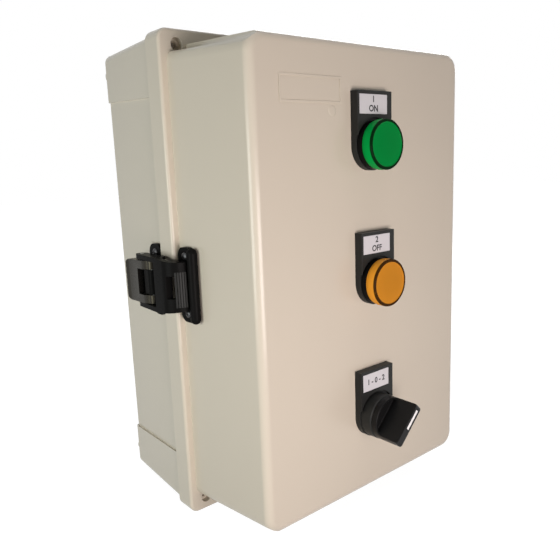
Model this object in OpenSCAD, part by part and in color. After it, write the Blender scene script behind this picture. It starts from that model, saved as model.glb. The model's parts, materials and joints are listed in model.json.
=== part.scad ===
// Enclosed motor starter: a moulded wall box whose deep cover swings on side hinges and
// is held by a draw latch, with two pilot lights and a selector switch on its front.
// Millimetres. +X is right seen from the front, +Y goes into the wall, +Z is up.
// The origin is on the wall, at the centre of the four wall bolts.

/* [Enclosure] */
// Width over the cover's skirt
box_w = 200; // [180:1:240]
// Height over the cover's skirt
box_h = 310; // [300:1:360]
// Depth of the base, from its back to the skirt's edge
base_d = 71.6; // [60:0.1:90]
// Depth of the cover's skirt
skirt_d = 15.1; // [14:0.1:22]
// Depth of the cover's nose in front of the flange
nose_d = 72.4; // [70:0.1:100]
// Wall of the base and of the cover's nose
wall = 3; // [2.4:0.1:3.6]
// Wall of the skirt
skirt_t = 2.6; // [2:0.1:3]
// Wall of the cover's flange
flange_t = 3; // [2.5:0.1:4]
// Side clearance between the base rim and the skirt, room for the swing
skirt_gap_x = 1.9; // [1.6:0.1:2.6]
// Top and bottom clearance between the base rim and the skirt
skirt_gap_z = 0.6; // [0.4:0.1:2]
// Setback of the nose from the skirt at the sides
ledge_x = 5; // [4:0.1:6]
// Setback of the nose from the skirt at top and bottom
ledge_z = 8.5; // [7.5:0.1:9]
// Draft of the nose at the sides, from flange to front
nose_in_x = 4.5; // [2:0.1:7]
// Draft of the nose at top and bottom, from flange to front
nose_in_z = 4; // [2:0.1:7]
// How far the skirt stands out from the base's corners at the sides
base_step_x = 2.2; // [1.8:0.1:2.4]
// How far the skirt stands out from the base at top and bottom
base_step_z = 1.9; // [1:0.1:2.2]
// Draft of the base at the sides, from skirt to back
base_in_x = 4.1; // [2:0.1:5]
// Draft of the base at top and bottom, from skirt to back
base_in_z = 1.6; // [0.5:0.1:3]
// Corner radius of the nose
nose_r = 11; // [9:0.5:16]
// Corner radius of the skirt
skirt_r = 6.5; // [6:0.5:9]
// Corner radius of the base
base_r = 5.5; // [4.5:0.5:7]
// Rounding of the cover's front edge
edge_r = 5; // [3:0.5:8]
// Rounding of the flange's edge
lip_r = 2; // [1:0.1:2.4]
// Rounding of the base's back edge
back_r = 2.5; // [1:0.5:4]
// How far the base's corners stand out from its side walls
corner_raise = 1.3; // [0.5:0.1:1.8]
// Height above the middle at which the raised corners begin, at the back
corner_z = 120; // [118:1:128]
// How much nearer the middle the raised corners begin at the skirt
corner_lean = 3; // [0:0.1:4]

/* [Seal and corner screws] */
// Thickness of the gasket
gasket_t = 4; // [3:0.1:6]
// Width of the gasket
gasket_w = 3.6; // [3:0.1:4]
// Gap between the gasket and the base rim
seal_gap = 0.2; // [0.1:0.05:0.4]
// Corner screw hole, from the skirt's side
screw_in_x = 12.5; // [11:0.5:13]
// Corner screw hole, from the skirt's top or bottom
screw_in_z = 9; // [8.5:0.1:10]
// Diameter of the corner counterbores
cbore_d = 8; // [7:0.5:9]
// Depth of the corner counterbores
cbore_h = 4.5; // [3:0.1:5]
// Diameter of the corner screw holes
corner_hole_d = 4.6; // [4:0.1:5]
// Diameter of the pilot holes in the base's pillars
pilot_d = 3.2; // [2.5:0.1:3.6]
// Depth of the pilot holes in the base's pillars
pilot_h = 22; // [10:1:40]
// Diameter of the scoop over each corner screw
scoop_d = 13.4; // [10:0.1:14.4]
// Diameter of the cover's screw bosses
boss_d = 16; // [13:0.5:17]

/* [Wall fixing] */
// Thickness of the feet behind the back
foot_t = 2.5; // [1.5:0.1:5]
// Length of a foot
foot_l = 32; // [30:1:36]
// Height of a foot
foot_h = 11; // [9.5:0.5:14]
// Setback of a foot from the base's side
foot_in = 1.4; // [1:0.1:4]
// Distance between the wall bolts across
bolt_span_x = 140; // [134:1:144]
// Distance between the wall bolts up and down
bolt_span_z = 276; // [268:1:280]
// Diameter of the wall bolt holes
bolt_d = 5.5; // [4:0.1:6.5]
// Diameter of the cable knockouts in the bottom wall
knockout_d = 23; // [16:1:28]
// Spacing of the cable knockouts
knockout_step = 45; // [32:1:60]
// Width of the thin ring round a knockout
knockout_ring = 1.2; // [0.8:0.1:2]
// Depth of the ring round a knockout
knockout_cut = 1.4; // [0.8:0.1:1.8]

/* [Hinges] */
// Height of the hinges above and below the middle
hinge_z = 90; // [70:1:95]
// Height of a hinge
hinge_h = 40; // [34:1:44]
// Thickness of the hinge leaves
leaf_t = 2.2; // [1.8:0.1:2.6]
// Depth of the base leaf
base_leaf_d = 24; // [20:1:30]
// Diameter of the hinge barrels
barrel_d = 8; // [7:0.1:8.4]
// Diameter of the hinge pins
hinge_pin_d = 3.5; // [2.5:0.1:4.5]
// Hinge axis, outwards from the skirt
axis_out = 4.5; // [4.4:0.1:5.5]
// Height of the cover's knuckle
knuckle_h = 15; // [10:0.5:18]
// Raised pad under the hinges and the latch on the base's sides
pad_t = 0.5; // [0.3:0.1:0.9]

/* [Latch] */
// Height of the latch's middle
latch_z = 3.3; // [-20:0.1:20]
// Height of the bracket and of the keeper
latch_plate_h = 47; // [44:1:60]
// Height of the hook
hook_h = 34.6; // [31:0.1:38]
// Thickness of the hook's arms
arm_t = 3.1; // [2.5:0.1:3.1]
// Height of the lever's paddle, for a hook of its usual height
paddle_h = 27.6; // [24:0.1:27.6]
// Height of the bracket's knuckle
knuckle_z = 16; // [12:0.5:17]
// Thickness of the bracket's plate
bracket_t = 2.5; // [2:0.1:3]
// Width of the bracket's plate
bracket_w = 15.5; // [13:0.5:18]
// Diameter of the latch's pins
latch_pin_d = 3; // [2:0.1:3.4]
// Thickness of the keeper's plate
keeper_t = 3; // [2.4:0.1:3.4]
// Width of the keeper over its front bar
keeper_w = 18; // [17.5:0.1:22]
// Diameter of the keeper's front bar
keeper_bar_d = 6.5; // [5.5:0.5:7]

/* [Front devices] */
// Green light, right of the middle
green_x = -1.5; // [-10:0.1:10]
// Green light, above the middle
green_z = 83.2; // [75:0.1:95]
// Amber light, right of the middle
amber_x = 0.5; // [-10:0.1:10]
// Amber light, above the middle
amber_z = -0.5; // [-8:0.5:8]
// Selector switch, right of the middle
selector_x = -1.4; // [-10:0.1:10]
// Selector switch, above the middle
selector_z = -89; // [-98:0.5:-78]
// Diameter of the holes in the cover
device_hole_d = 22.5; // [22.3:0.1:24]
// Diameter of the necks in those holes
neck_d = 22; // [21:0.1:22.2]
// Width of a label holder
holder_w = 30; // [29:0.5:36]
// Height of a label holder above the device's centre
holder_up = 31.4; // [30:0.1:40]
// Thickness of a label holder round the device
holder_t = 4.2; // [3:0.1:5]
// Thickness of a label holder at the label
holder_top_t = 5.8; // [5:0.1:8]
// Width of a label
label_w = 24.3; // [20:0.1:26]
// Height of a label
label_h = 11.3; // [9:0.1:12.5]
// Thickness of a label
label_t = 0.8; // [0.5:0.1:1.2]
// Label, down from the holder's top
label_drop = 2; // [1.4:0.1:3]
// Label, right of the holder's middle
label_shift = -1.2; // [-1.5:0.1:1.5]
// Diameter of a lens
lens_d = 29.7; // [28:0.1:32]
// Height of the collar under a lens
collar_h = 3.9; // [3:0.1:6]
// Height of a lens
lens_h = 7.4; // [7:0.1:10]
// Wall of a lens
lens_t = 1.8; // [1.2:0.1:2.4]
// Diameter of the selector's bezel
bezel_d = 29; // [27:0.5:30]
// Height of the selector's bezel
bezel_h = 8.5; // [6:0.1:12]
// Height of the selector's knob, grip included
knob_h = 18.6; // [14:0.1:22]
// Thickness of the knob's disc
knob_disc_h = 4; // [3.4:0.1:6]
// Thickness of the grip at its front
grip_t = 5.6; // [4.6:0.1:8]
// Thickness of the grip at its foot
grip_foot_t = 8.4; // [6:0.1:10]
// Turn of the grip from upright, as it stands
grip_turn = 45; // [0:1:45]
// Diameter of the selector's shaft
shaft_d = 8; // [6:0.1:10]

/* [Mounting plate] */
// Height of the bosses under the mounting plate
plate_boss_h = 8; // [5:0.5:12]
// Thickness of the mounting plate
plate_t = 2; // [1.5:0.1:3]
// Clear space round the mounting plate at the sides
plate_in_x = 17.5; // [16:0.5:22]
// Clear space round the mounting plate at top and bottom
plate_in_z = 24; // [23:0.5:28]
// Height of the starter's rail above the middle
rail_z = 52; // [48:1:58]
// Height of the terminal rail, below the middle
strip_z = -94; // [-94:1:-88]

/* [Starter] */
// Width of the contactor and of the relay
starter_w = 45; // [40:1:50]
// Height of the contactor
contactor_h = 75; // [70:1:80]
// Depth of the contactor
contactor_d = 80; // [76:1:84]
// Height of the overload relay
relay_h = 60; // [54:1:64]
// Depth of the overload relay
relay_d = 70; // [64:1:76]
// Travel of the contactor's carrier
carrier_travel = 4; // [2:0.5:5]
// Travel of the relay's buttons
button_travel = 2.5; // [1.5:0.1:3]
// Number of terminal blocks
terminals = 8; // [4:1:9]
// Width of a terminal block
terminal_w = 6.2; // [5:0.1:7]
// Height of a terminal block
terminal_h = 44; // [42:1:46]
// Depth of a terminal block
terminal_d = 40; // [36:1:46]

/* [Hidden] */
$fn = 48;
eps = 0.02;
// Overshoot of cuts
over = 1;
// Fit of pins in bores, gap between fixed pieces, gaps between moving pieces
fit = 0.05;
clear = 0.25;
slide_gap = 0.15;
run_gap = 0.4;
side_signs = [-1, 1];

// Sizes to which the heights and spans of what the box carries belong
usual_w = 200;
usual_h = 310;
usual_hook_h = 34.6;
z_part = box_h / usual_h;

// Planes across the depth, from the wall forward
y_back = -foot_t;
y_floor = y_back - wall;
y_skirt = y_back - base_d;
seat_gap = 0.5;
y_seat = y_skirt + seat_gap;
y_flange = y_skirt - skirt_d;
y_ledge = y_flange + flange_t;
y_rim = y_ledge + gasket_t + seal_gap;
y_front = y_flange - nose_d;
y_inner = y_front + wall;

// Sizes across
rim_w = box_w - 2 * (skirt_t + skirt_gap_x);
rim_h = box_h - 2 * (skirt_t + skirt_gap_z);
base_w = box_w - 2 * base_step_x;
base_h = box_h - 2 * base_step_z;
back_w = base_w - 2 * base_in_x;
back_h = base_h - 2 * base_in_z;
floor_w = back_w - 2 * (corner_raise + wall);
floor_h = rim_h - 2 * (base_in_z + wall);
floor_r = base_r - wall;
floor_edge = floor_r * 0.8;
nose_w = box_w - 2 * ledge_x;
nose_h = box_h - 2 * ledge_z;
front_w = nose_w - 2 * nose_in_x;
front_h = nose_h - 2 * nose_in_z;
inner_edge = edge_r - wall + 0.5;
bolt_x = (bolt_span_x + box_w - usual_w) / 2;
bolt_z = (bolt_span_z + box_h - usual_h) / 2;
screw_x = box_w / 2 - screw_in_x;
screw_z = box_h / 2 - screw_in_z;
pad_x = base_w / 2 - corner_raise + pad_t;
pad_more = 2;
boss_gap = 0.4;
ring_mid = boss_d / 2 + boss_gap + gasket_w / 2;
pillar_r = ring_mid + gasket_w / 2 + boss_gap;

// Screw slots, as parts of the head's diameter
slot_part = 0.16;
slot_long = 0.72;

// Hinge
hinge_x = box_w / 2 + axis_out;
leaf_gap = 0.6;
leaf_back = 0.4;
leaf_arm_t = 3.2;
hinge_heights = [-hinge_z, hinge_z];
leaf_screw_d = 3;
leaf_head_d = 5.6;
leaf_head_h = 1.6;
leaf_screw_z = (hinge_h + knuckle_h) / 4;
screw_short = 0.4;
pin_head_h = 1;
pin_head_d = hinge_pin_d + 1.6;
eye_h = (hinge_h - knuckle_h - 2 * run_gap) / 2;
eye_z = (hinge_h + knuckle_h + 2 * run_gap) / 4;

// Latch, on the left side: pins A (bracket) and B (hook), hook band and keeper
latch_out = 5;
pin_in = 3.5;
pin_gap = [-0.4, 12];
pin_a = [-box_w / 2 - latch_out, y_skirt + pin_in];
pin_b = pin_a + pin_gap;
latch_barrel_r = latch_pin_d / 2 + 2;
ear_r = latch_barrel_r - 0.3;
arm_r = latch_barrel_r + 0.3;
lever_window = 10;
lever_h = paddle_h + hook_h - usual_hook_h;
bracket_r = 6;
knuckle_back = 6.8;
knuckle_out = 3.3;
knuckle_edge = 1.5;
latch_head_d = 5;
latch_head_h = 1.2;
hook_skin = 4;
hook_bend_r = 11;
hook_out = 10.5;
hook_past = 2.8;
hook_bend = [-box_w / 2 - hook_out + hook_bend_r, y_flange - hook_past];
hook_window_in = 8;
hook_window_y = y_skirt - hook_window_in;
hook_lift = 2;
hook_slot_h = 14;
hook_taper = 2.2;
hook_slot_w = 5;
hook_slot_in = 8.5;
hook_slot_y = hook_bend[1] - hook_slot_in;
paddle_out = 6;
paddle_x = pin_a[0] - paddle_out;
paddle_t = 4.6;
paddle_reach = 27;
paddle_end = y_skirt + paddle_reach;
paddle_dip = 0.5;
paddle_flare = 3;
paddle_lip = 0.8;
paddle_r = 5;
nose_slope = atan(nose_in_x / nose_d);
keeper_past = 2;
keeper_y = y_flange - keeper_past;
keeper_plate_w = keeper_w - keeper_bar_d / 2;
keeper_r = keeper_plate_w / 2 - keeper_past;
keeper_screw_in = 7;
keeper_lip_in = 5;
keeper_lip_w = 3.5;
keeper_lip_h = 0.8;
keeper_hole_in = 5.5;
keeper_hole_z = latch_plate_h / 2 - keeper_hole_in;
keeper_lip_l = 2 * (keeper_hole_z - latch_head_d / 2 - run_gap);

// Front devices
devices = [[green_x, green_z * z_part], [amber_x, amber_z * z_part], [selector_x, selector_z * z_part]];
holder_low = 4;
holder_arc = 1.2;
label_gap = 0.1;
lens_rim = 1.7;
lens_dish = 0.6;
lens_foot = 1.2;
lens_groove = 0.5;
lens_edge = 0.6;
lens_swell = 0.4;
washer_t = 1;
washer_d = neck_d + 6;
nut_t = 6;
nut_af = 27;
neck_more = 8;
lamp_head_h = 1.6;
bulb_d = 10;
bulb_h = 2.6;
collar_in = 0.4;
lamp_tail_d = 20;
lamp_tail_l = 22;
lamp_bar = [8, 6, 18];
lamp_screw_z = 5;
lamp_screw_d = 4;
lamp_screw_h = 3;
y_nut = y_inner + washer_t;
y_neck = y_nut + nut_t + neck_more;
y_tail = y_neck + lamp_tail_l;
y_lens = y_front - holder_t;
y_cap = y_lens - collar_h;
y_knob = y_lens - bezel_h - run_gap;
bezel_edge = 0.8;
knob_r = bezel_d / 2 - 0.3;
knob_rim = 1.4;
knob_sink = 2.4;
grip_corner = 2.5;
carrier_t = 10;
carrier_size = 42;
carrier_r = 3;
y_carrier = y_nut + nut_t + carrier_t;
contact_w = 10;
contact_h = 34;
contact_d = 24;
contact_x = contact_w / 2 + run_gap;
contact_screw_z = 11;
contact_screw_d = 4.6;
contact_screw_h = 3;
contact_hole_h = 4;
y_contacts = y_carrier + contact_d;
line_l = 13.4;
line_w = 2;
line_t = 0.6;
line_in = 3.2;
line_z = knob_r - line_in - line_l / 2;

// Mounting plate and rails
y_plate = y_floor - plate_boss_h;
y_rail = y_plate - plate_t;
plate_w = rim_w - 2 * (wall + plate_in_x);
plate_h = rim_h - 2 * (wall + plate_in_z);
plate_r = 4;
plate_hole_in = 8;
plate_hole_x = plate_w / 2 - plate_hole_in;
plate_hole_z = plate_h / 2 - plate_hole_in;
plate_screw_d = 4;
plate_head_d = 8;
plate_head_h = 2.8;
plate_boss_d = 10;
rail_w = 35;
rail_hat = 27;
rail_depth = 7.5;
rail_t = 1;
rail_in = plate_hole_in + plate_head_d / 2 + 1;
rail_l = plate_w - 2 * rail_in;
rail_hole_in = 12;
rail_hole_x = rail_l / 2 - rail_hole_in;
rail_at = rail_z * z_part;
strip_at = strip_z * z_part;
rail_head_d = 7.5;
rail_head_h = 2.4;

// Starter
y_starter = y_rail - rail_t;
y_contactor = y_starter - contactor_d;
shelf_d = 16;
shelf_h = 15;
shelf_slope = 2;
split_d = 38;
y_split = y_starter - split_d;
body_r = 2;
pole_step = 13;
pole_hole_d = 7.6;
pole_hole_h = 5;
pole_head_d = 7;
pole_head_h = 2.6;
pole_shank_d = 3.4;
pole_shank_l = 4;
vent = [1.6, 18, 3];
carrier_w = 11;
carrier_h = 16;
carrier_l = 12.4;
carrier_in = 0.3;
carrier_room = carrier_in + carrier_l + carrier_travel + run_gap;
mark = [2, 3, 12];
prong_d = 4;
prong_l = 9;
prong_in = 6;
y_prong = y_split + 8;
relay_gap = 1;
relay_back = 4;
relay_edge = 6;
relay_top = rail_at - contactor_h / 2 - relay_gap;
relay_mid = relay_top - relay_h / 2;
y_relay = y_starter - relay_back - relay_d;
dial_d = 13;
dial_x = -11;
dial_h = 2.6;
dial_sink = 2;
dial_shaft_d = 5;
dial_shaft_l = 10;
dial_slot = [1.6, 2.4, 10];
reset_x = 12;
button_w = 9;
stop_d = 8;
button_out = 3;
button_room = 11;
button_l = button_out + button_room - run_gap - button_travel;
button_up = 12;
button_z = relay_mid + button_up;
stop_down = 4;
stop_z = relay_mid - stop_down;

// Terminal strip
strip_l = terminals * terminal_w;
y_strip = y_starter - terminal_d;
terminal_gap = 0.1;
terminal_slope_d = 12;
terminal_slope_h = 9;
terminal_hole_z = 9;
terminal_hole_h = 8;
terminal_screw_d = 4;
terminal_screw_h = 5;
end_w = 9;
end_drop = 14;
end_in = 1;

// Plane figure in X and Z, given depth from the plane y_from towards the front
module forward(y_from, depth) {
    translate([0, y_from, 0]) rotate([90, 0, 0]) linear_extrude(depth) children();
}

// Round bar along the depth, from the plane y_from towards the front
module rod(x, z, y_from, depth, d) {
    translate([x, y_from, z]) rotate([90, 0, 0]) cylinder(d = d, h = depth);
}

// Revolved profile about the depth axis at a device: X is the radius, Y runs forward
module turned(at, y_from) {
    translate([at[0], y_from, at[1]]) rotate([90, 0, 0]) rotate_extrude() children();
}

module at_corners(x, z) {
    for (sx = side_signs, sz = side_signs) translate([sx * x, sz * z]) children();
}

module rounded(w, h, r) {
    square([w - 2 * r, h], center = true);
    square([w, h - 2 * r], center = true);
    at_corners(w / 2 - r, h / 2 - r) circle(r, $fn = 32);
}

// Block with draft from the plane y0 to the plane y1, the edge at y1 rounded
module drafted(y0, w0, h0, y1, w1, h1, r, edge) {
    way = sign(y1 - y0);
    hull() {
        thin(y0, way) rounded(w0, h0, r);
        for (a = [0:18:90]) {
            inset = edge * (1 - cos(a));
            y = y1 - way * edge * (1 - sin(a));
            part = (y - y0) / (y1 - y0);
            w = w0 + (w1 - w0) * part - 2 * inset;
            h = h0 + (h1 - h0) * part - 2 * inset;
            thin(y, -way) rounded(w, h, r - inset);
        }
    }
}

module thin(y, way) {
    forward(way > 0 ? y + eps : y, eps) children();
}

// Screw along the depth with its head's seat on the plane y_seat, driven towards the wall
module screw(x, z, y_seat, d, length, head_d, head_h) {
    rod(x, z, y_seat + length, length + eps, d);
    slotted(x, z, y_seat, head_h, head_d);
}

// Round head with a slot in its front
module slotted(x, z, y_from, depth, d) {
    difference() {
        rod(x, z, y_from, depth, d);
        translate([x, y_from - depth, z]) cube([d * slot_long, depth, d * slot_part], center = true);
    }
}

// Screw along X with its head's seat at x_seat, its head on the side that out points to
module side_screw(x_seat, y, z, d, length, head_d, head_h, out) {
    translate([x_seat, y, z]) rotate([0, out * 90, 0]) {
        translate([0, 0, -length]) cylinder(d = d, h = length + eps);
        difference() {
            cylinder(d = head_d, h = head_h);
            translate([0, 0, head_h]) cube([head_d * slot_part, head_d * slot_long, head_h], center = true);
        }
    }
}

// Hole along X for a side screw, through everything between two planes
module side_hole(x_from, x_to, y, z) {
    translate([x_from, y, z]) rotate([0, 90, 0]) cylinder(d = leaf_screw_d + 2 * fit, h = x_to - x_from);
}

// Base and what it carries

module base_outline(inset) {
    rounded(rim_w - 2 * inset, rim_h - 2 * inset, base_r - inset);
}

module base_body(drop) {
    drafted(y_seat, base_w - 2 * drop, base_h, y_back, back_w - 2 * drop, back_h, base_r, back_r);
}

// The stretch of the sides between the raised corners, in depth and height
module between_corners() polygon([
    [y_back + over, -corner_z],
    [y_back + over, corner_z],
    [y_seat - over, corner_z - corner_lean],
    [y_seat - over, corner_lean - corner_z]
]);

module base_hollow() difference() {
    union() {
        drafted(y_seat - eps, rim_w - 2 * wall, rim_h - 2 * wall, y_floor, floor_w, floor_h,
            floor_r, floor_edge);
        forward(y_seat, y_seat - y_rim + over) base_outline(wall);
    }
    for (sx = side_signs, sz = side_signs)
        rod(sx * screw_x, sz * screw_z, 0, 2 * over - y_rim, 2 * pillar_r);
}

module foot() {
    outer = back_w / 2 - foot_in;
    for (sx = side_signs, sz = side_signs)
        forward(0, foot_t + over)
            translate([sx * (outer - foot_l / 2), sz * bolt_z]) {
                square([foot_l - foot_h, foot_h], center = true);
                for (end = side_signs) translate([end * (foot_l - foot_h) / 2, 0]) circle(d = foot_h);
            }
}

module base_tub() color("#d6cbb6") difference() {
    union() {
        difference() {
            union() {
                base_body(corner_raise);
                difference() {
                    base_body(0);
                    across(0, 2 * box_w) between_corners();
                }
                forward(y_seat + over, y_seat + over - y_rim) base_outline(0);
            }
            base_hollow();
        }
        foot();
        for (sz = hinge_heights)
            translate([pad_x - wall, y_skirt + leaf_gap, sz - hinge_h / 2])
                cube([wall, base_leaf_d + pad_more, hinge_h]);
        translate([-pad_x, y_skirt + leaf_gap, latch_z - latch_plate_h / 2])
            cube([wall, bracket_w + pad_more, latch_plate_h]);
        for (sx = side_signs, sz = side_signs)
            rod(sx * plate_hole_x, sz * plate_hole_z, y_floor + over, plate_boss_h + over, plate_boss_d);
    }
    for (sx = side_signs, sz = side_signs) {
        rod(sx * bolt_x, sz * bolt_z, over, foot_t + wall + 2 * over, bolt_d);
        rod(sx * screw_x, sz * screw_z, y_rim + pilot_h, pilot_h + over, pilot_d);
        rod(sx * plate_hole_x, sz * plate_hole_z, y_floor, plate_boss_h + over, plate_screw_d + 2 * fit);
    }
    for (z = hinge_heights, s = side_signs)
        side_hole(pad_x - 2 * wall, pad_x + over, base_screw_y(), z + s * leaf_screw_z);
    for (s = side_signs)
        side_hole(-pad_x - over, -pad_x + 2 * wall, bracket_screw_y(), latch_z + s * keeper_hole_z);
    knockout_rings();
}

function base_screw_y() = y_skirt + leaf_gap + base_leaf_d * 0.62;
function bracket_screw_y() = y_skirt + leaf_gap + bracket_w / 2;
function knockout_y() = (y_back + y_skirt) / 2;
function knockout_xs() = [-knockout_step, 0, knockout_step];

// Thin rings moulded into the outside of the bottom wall, where cable entries are pressed out
module knockout_rings() {
    for (x = knockout_xs()) translate([x, knockout_y(), -(base_h + back_h) / 4 - wall]) difference() {
        cylinder(d = knockout_d, h = wall + knockout_cut);
        translate([0, 0, -over]) cylinder(d = knockout_d - 2 * knockout_ring, h = 2 * wall + knockout_cut);
    }
}

module mounting_plate() color("#b9bcbd") difference() {
    forward(y_plate, plate_t) rounded(plate_w, plate_h, plate_r);
    for (sx = side_signs, sz = side_signs)
        rod(sx * plate_hole_x, sz * plate_hole_z, y_plate + over, plate_t + 2 * over,
            plate_screw_d + 2 * clear);
    for (z = [rail_at, strip_at], sx = side_signs)
        rod(sx * rail_hole_x, z, y_plate + over, plate_t + 2 * over, plate_screw_d + 2 * fit);
}

module plate_screws() color("#c8cacb")
    for (sx = side_signs, sz = side_signs)
        screw(sx * plate_hole_x, sz * plate_hole_z, y_rail, plate_screw_d, plate_t + plate_boss_h - over,
            plate_head_d, plate_head_h);

module top_hat(z) {
    step = (rail_w - rail_hat) / 2;
    difference() {
        translate([-rail_l / 2, y_rail, z]) rotate([90, 0, 90]) linear_extrude(rail_l) {
            for (s = side_signs) {
                translate([-rail_depth, s > 0 ? rail_hat / 2 - rail_t : -rail_w / 2])
                    square([rail_t, step + rail_t]);
                translate([-rail_depth, s > 0 ? rail_hat / 2 - rail_t : -rail_hat / 2])
                    square([rail_depth, rail_t]);
            }
            translate([-rail_t, -rail_hat / 2]) square([rail_t, rail_hat]);
        }
        for (sx = side_signs)
            rod(sx * rail_hole_x, z, y_rail + over, rail_t + 2 * over, plate_screw_d + 2 * clear);
    }
}

module starter_rail() color("#c3c6c8") top_hat(rail_at);

module terminal_rail() color("#c3c6c8") top_hat(strip_at);

module rail_screws() color("#c8cacb")
    for (z = [rail_at, strip_at], sx = side_signs)
        screw(sx * rail_hole_x, z, y_rail - rail_t, plate_screw_d, rail_t + plate_t,
            rail_head_d, rail_head_h);

// Room for a rail in the back of a device, in plan of depth and height
module rail_room(z) {
    translate([y_starter - rail_depth, z - rail_w / 2 - clear])
        square([rail_depth + over, rail_w + 2 * clear]);
}

// Plane figure in depth and height, given width about the middle at x
module across(x, w) {
    translate([x - w / 2, 0, 0]) rotate([90, 0, 90]) linear_extrude(w) children();
}

// Contactor: a base with the coil, and a stepped front with the arc chambers

module contactor_base() color("#3c3e40") difference() {
    forward(y_starter, split_d) translate([0, rail_at]) rounded(starter_w, contactor_h, body_r);
    across(0, starter_w + 2 * over) rail_room(rail_at);
    for (i = [-1:1])
        translate([i * pole_step, y_prong, relay_top])
            cylinder(d = prong_d + 2 * clear, h = prong_l + 2 * relay_gap);
}

module contactor_front() color("#d9d6cc") difference() {
    across(0, starter_w) translate([0, rail_at]) polygon([
        [y_split, -contactor_h / 2],
        [y_split, contactor_h / 2],
        [y_contactor + shelf_d, contactor_h / 2],
        [y_contactor + shelf_d, contactor_h / 2 - shelf_h],
        [y_contactor, contactor_h / 2 - shelf_h - shelf_slope],
        [y_contactor, -contactor_h / 2 + shelf_h + shelf_slope],
        [y_contactor + shelf_d, -contactor_h / 2 + shelf_h],
        [y_contactor + shelf_d, -contactor_h / 2]
    ]);
    translate([-carrier_w / 2 - slide_gap, y_contactor - over, rail_at - carrier_h / 2 - slide_gap])
        cube([carrier_w + 2 * slide_gap, carrier_room + over, carrier_h + 2 * slide_gap]);
    for (i = [-1:1], s = side_signs)
        pole_hole(i * pole_step, contactor_pole_z(s), y_contactor + shelf_d);
    for (i = [-1.5:1.5], s = side_signs)
        translate([i * pole_step, (y_contactor + shelf_d + y_split) / 2, rail_at + s * contactor_h / 2])
            cube(vent, center = true);
}

function contactor_pole_z(s) = rail_at + s * (contactor_h / 2 - shelf_h / 2);

// Sunk hole and screw of a power terminal under the shelf at y_shelf
module pole_hole(x, z, y_shelf) {
    rod(x, z, y_shelf + pole_hole_h, pole_hole_h + over, pole_hole_d);
    rod(x, z, y_shelf + pole_hole_h + pole_shank_l, pole_shank_l + over, pole_shank_d + 2 * fit);
}

module pole_screw(x, z, y_shelf) {
    screw(x, z, y_shelf + pole_hole_h, pole_shank_d, pole_shank_l, pole_head_d, pole_head_h);
}

module contactor_screws() color("#d4b15c")
    for (i = [-1:1], s = side_signs)
        pole_screw(i * pole_step, contactor_pole_z(s), y_contactor + shelf_d);

// Moving contact carrier, seen through the window in the contactor's front
module contactor_carrier() color("#2b2d2f") difference() {
    translate([-carrier_w / 2, y_contactor + carrier_in, rail_at - carrier_h / 2])
        cube([carrier_w, carrier_l, carrier_h]);
    translate([0, y_contactor + carrier_in, rail_at]) cube(mark, center = true);
}

// Overload relay, plugged into the contactor from below

module overload_relay() color("#3f4244") difference() {
    across(0, starter_w) translate([0, relay_mid]) polygon([
        [y_starter - relay_back, -relay_h / 2],
        [y_starter - relay_back, relay_h / 2],
        [y_relay + relay_edge, relay_h / 2],
        [y_relay, relay_h / 2 - relay_edge],
        [y_relay, -relay_h / 2 + shelf_h + shelf_slope],
        [y_relay + shelf_d, -relay_h / 2 + shelf_h],
        [y_relay + shelf_d, -relay_h / 2]
    ]);
    rod(dial_x, button_z, y_relay + dial_sink + dial_shaft_l, dial_sink + dial_shaft_l,
        dial_shaft_d + 2 * fit);
    rod(dial_x, button_z, y_relay + dial_sink, dial_sink + over, dial_d + 2 * run_gap);
    translate([reset_x - button_w / 2 - slide_gap, y_relay - over, button_z - button_w / 2 - slide_gap])
        cube([button_w + 2 * slide_gap, button_room + over, button_w + 2 * slide_gap]);
    rod(reset_x, stop_z, y_relay + button_room, button_room + over, stop_d + 2 * slide_gap);
    for (i = [-1:1]) {
        pole_hole(i * pole_step, relay_pole_z(), y_relay + shelf_d);
        translate([i * pole_step, y_prong, relay_top - prong_in])
            cylinder(d = prong_d + 2 * fit, h = prong_in + over);
    }
}

function relay_pole_z() = relay_mid - relay_h / 2 + shelf_h / 2;

module relay_prongs() color("#c98a4b")
    for (i = [-1:1])
        translate([i * pole_step, y_prong, relay_top - prong_in])
            cylinder(d = prong_d, h = prong_in + prong_l);

module relay_screws() color("#d4b15c")
    for (i = [-1:1])
        pole_screw(i * pole_step, relay_pole_z(), y_relay + shelf_d);

module relay_dial() color("#e7e4da") difference() {
    union() {
        rod(dial_x, button_z, y_relay + dial_sink + dial_shaft_l - clear, dial_shaft_l, dial_shaft_d);
        rod(dial_x, button_z, y_relay + dial_sink - clear, dial_h, dial_d);
    }
    translate([dial_x, y_relay + dial_sink - clear - dial_h, button_z]) cube(dial_slot, center = true);
}

module reset_button() color("#2a5fae")
    translate([reset_x - button_w / 2, y_relay - button_out, button_z - button_w / 2])
        cube([button_w, button_l, button_w]);

module stop_button() color("#c0282a")
    rod(reset_x, stop_z, y_relay - button_out + button_l, button_l, stop_d);

// Terminal strip

module terminal_profile() difference() {
    translate([0, strip_at]) polygon([
        [y_starter, -terminal_h / 2],
        [y_starter, terminal_h / 2],
        [y_strip + terminal_slope_d, terminal_h / 2],
        [y_strip, terminal_h / 2 - terminal_slope_h],
        [y_strip, -terminal_h / 2 + terminal_slope_h],
        [y_strip + terminal_slope_d, -terminal_h / 2]
    ]);
    rail_room(strip_at);
}

function terminal_x(i) = (i + 0.5) * terminal_w - strip_l / 2;

module terminal_blocks() color("#b7b9b4")
    for (i = [0:terminals - 1]) difference() {
        across(terminal_x(i), terminal_w - terminal_gap) terminal_profile();
        for (s = side_signs)
            rod(terminal_x(i), strip_at + s * terminal_hole_z, y_strip + terminal_hole_h,
                terminal_hole_h + over, terminal_screw_d + 2 * fit);
    }

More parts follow.
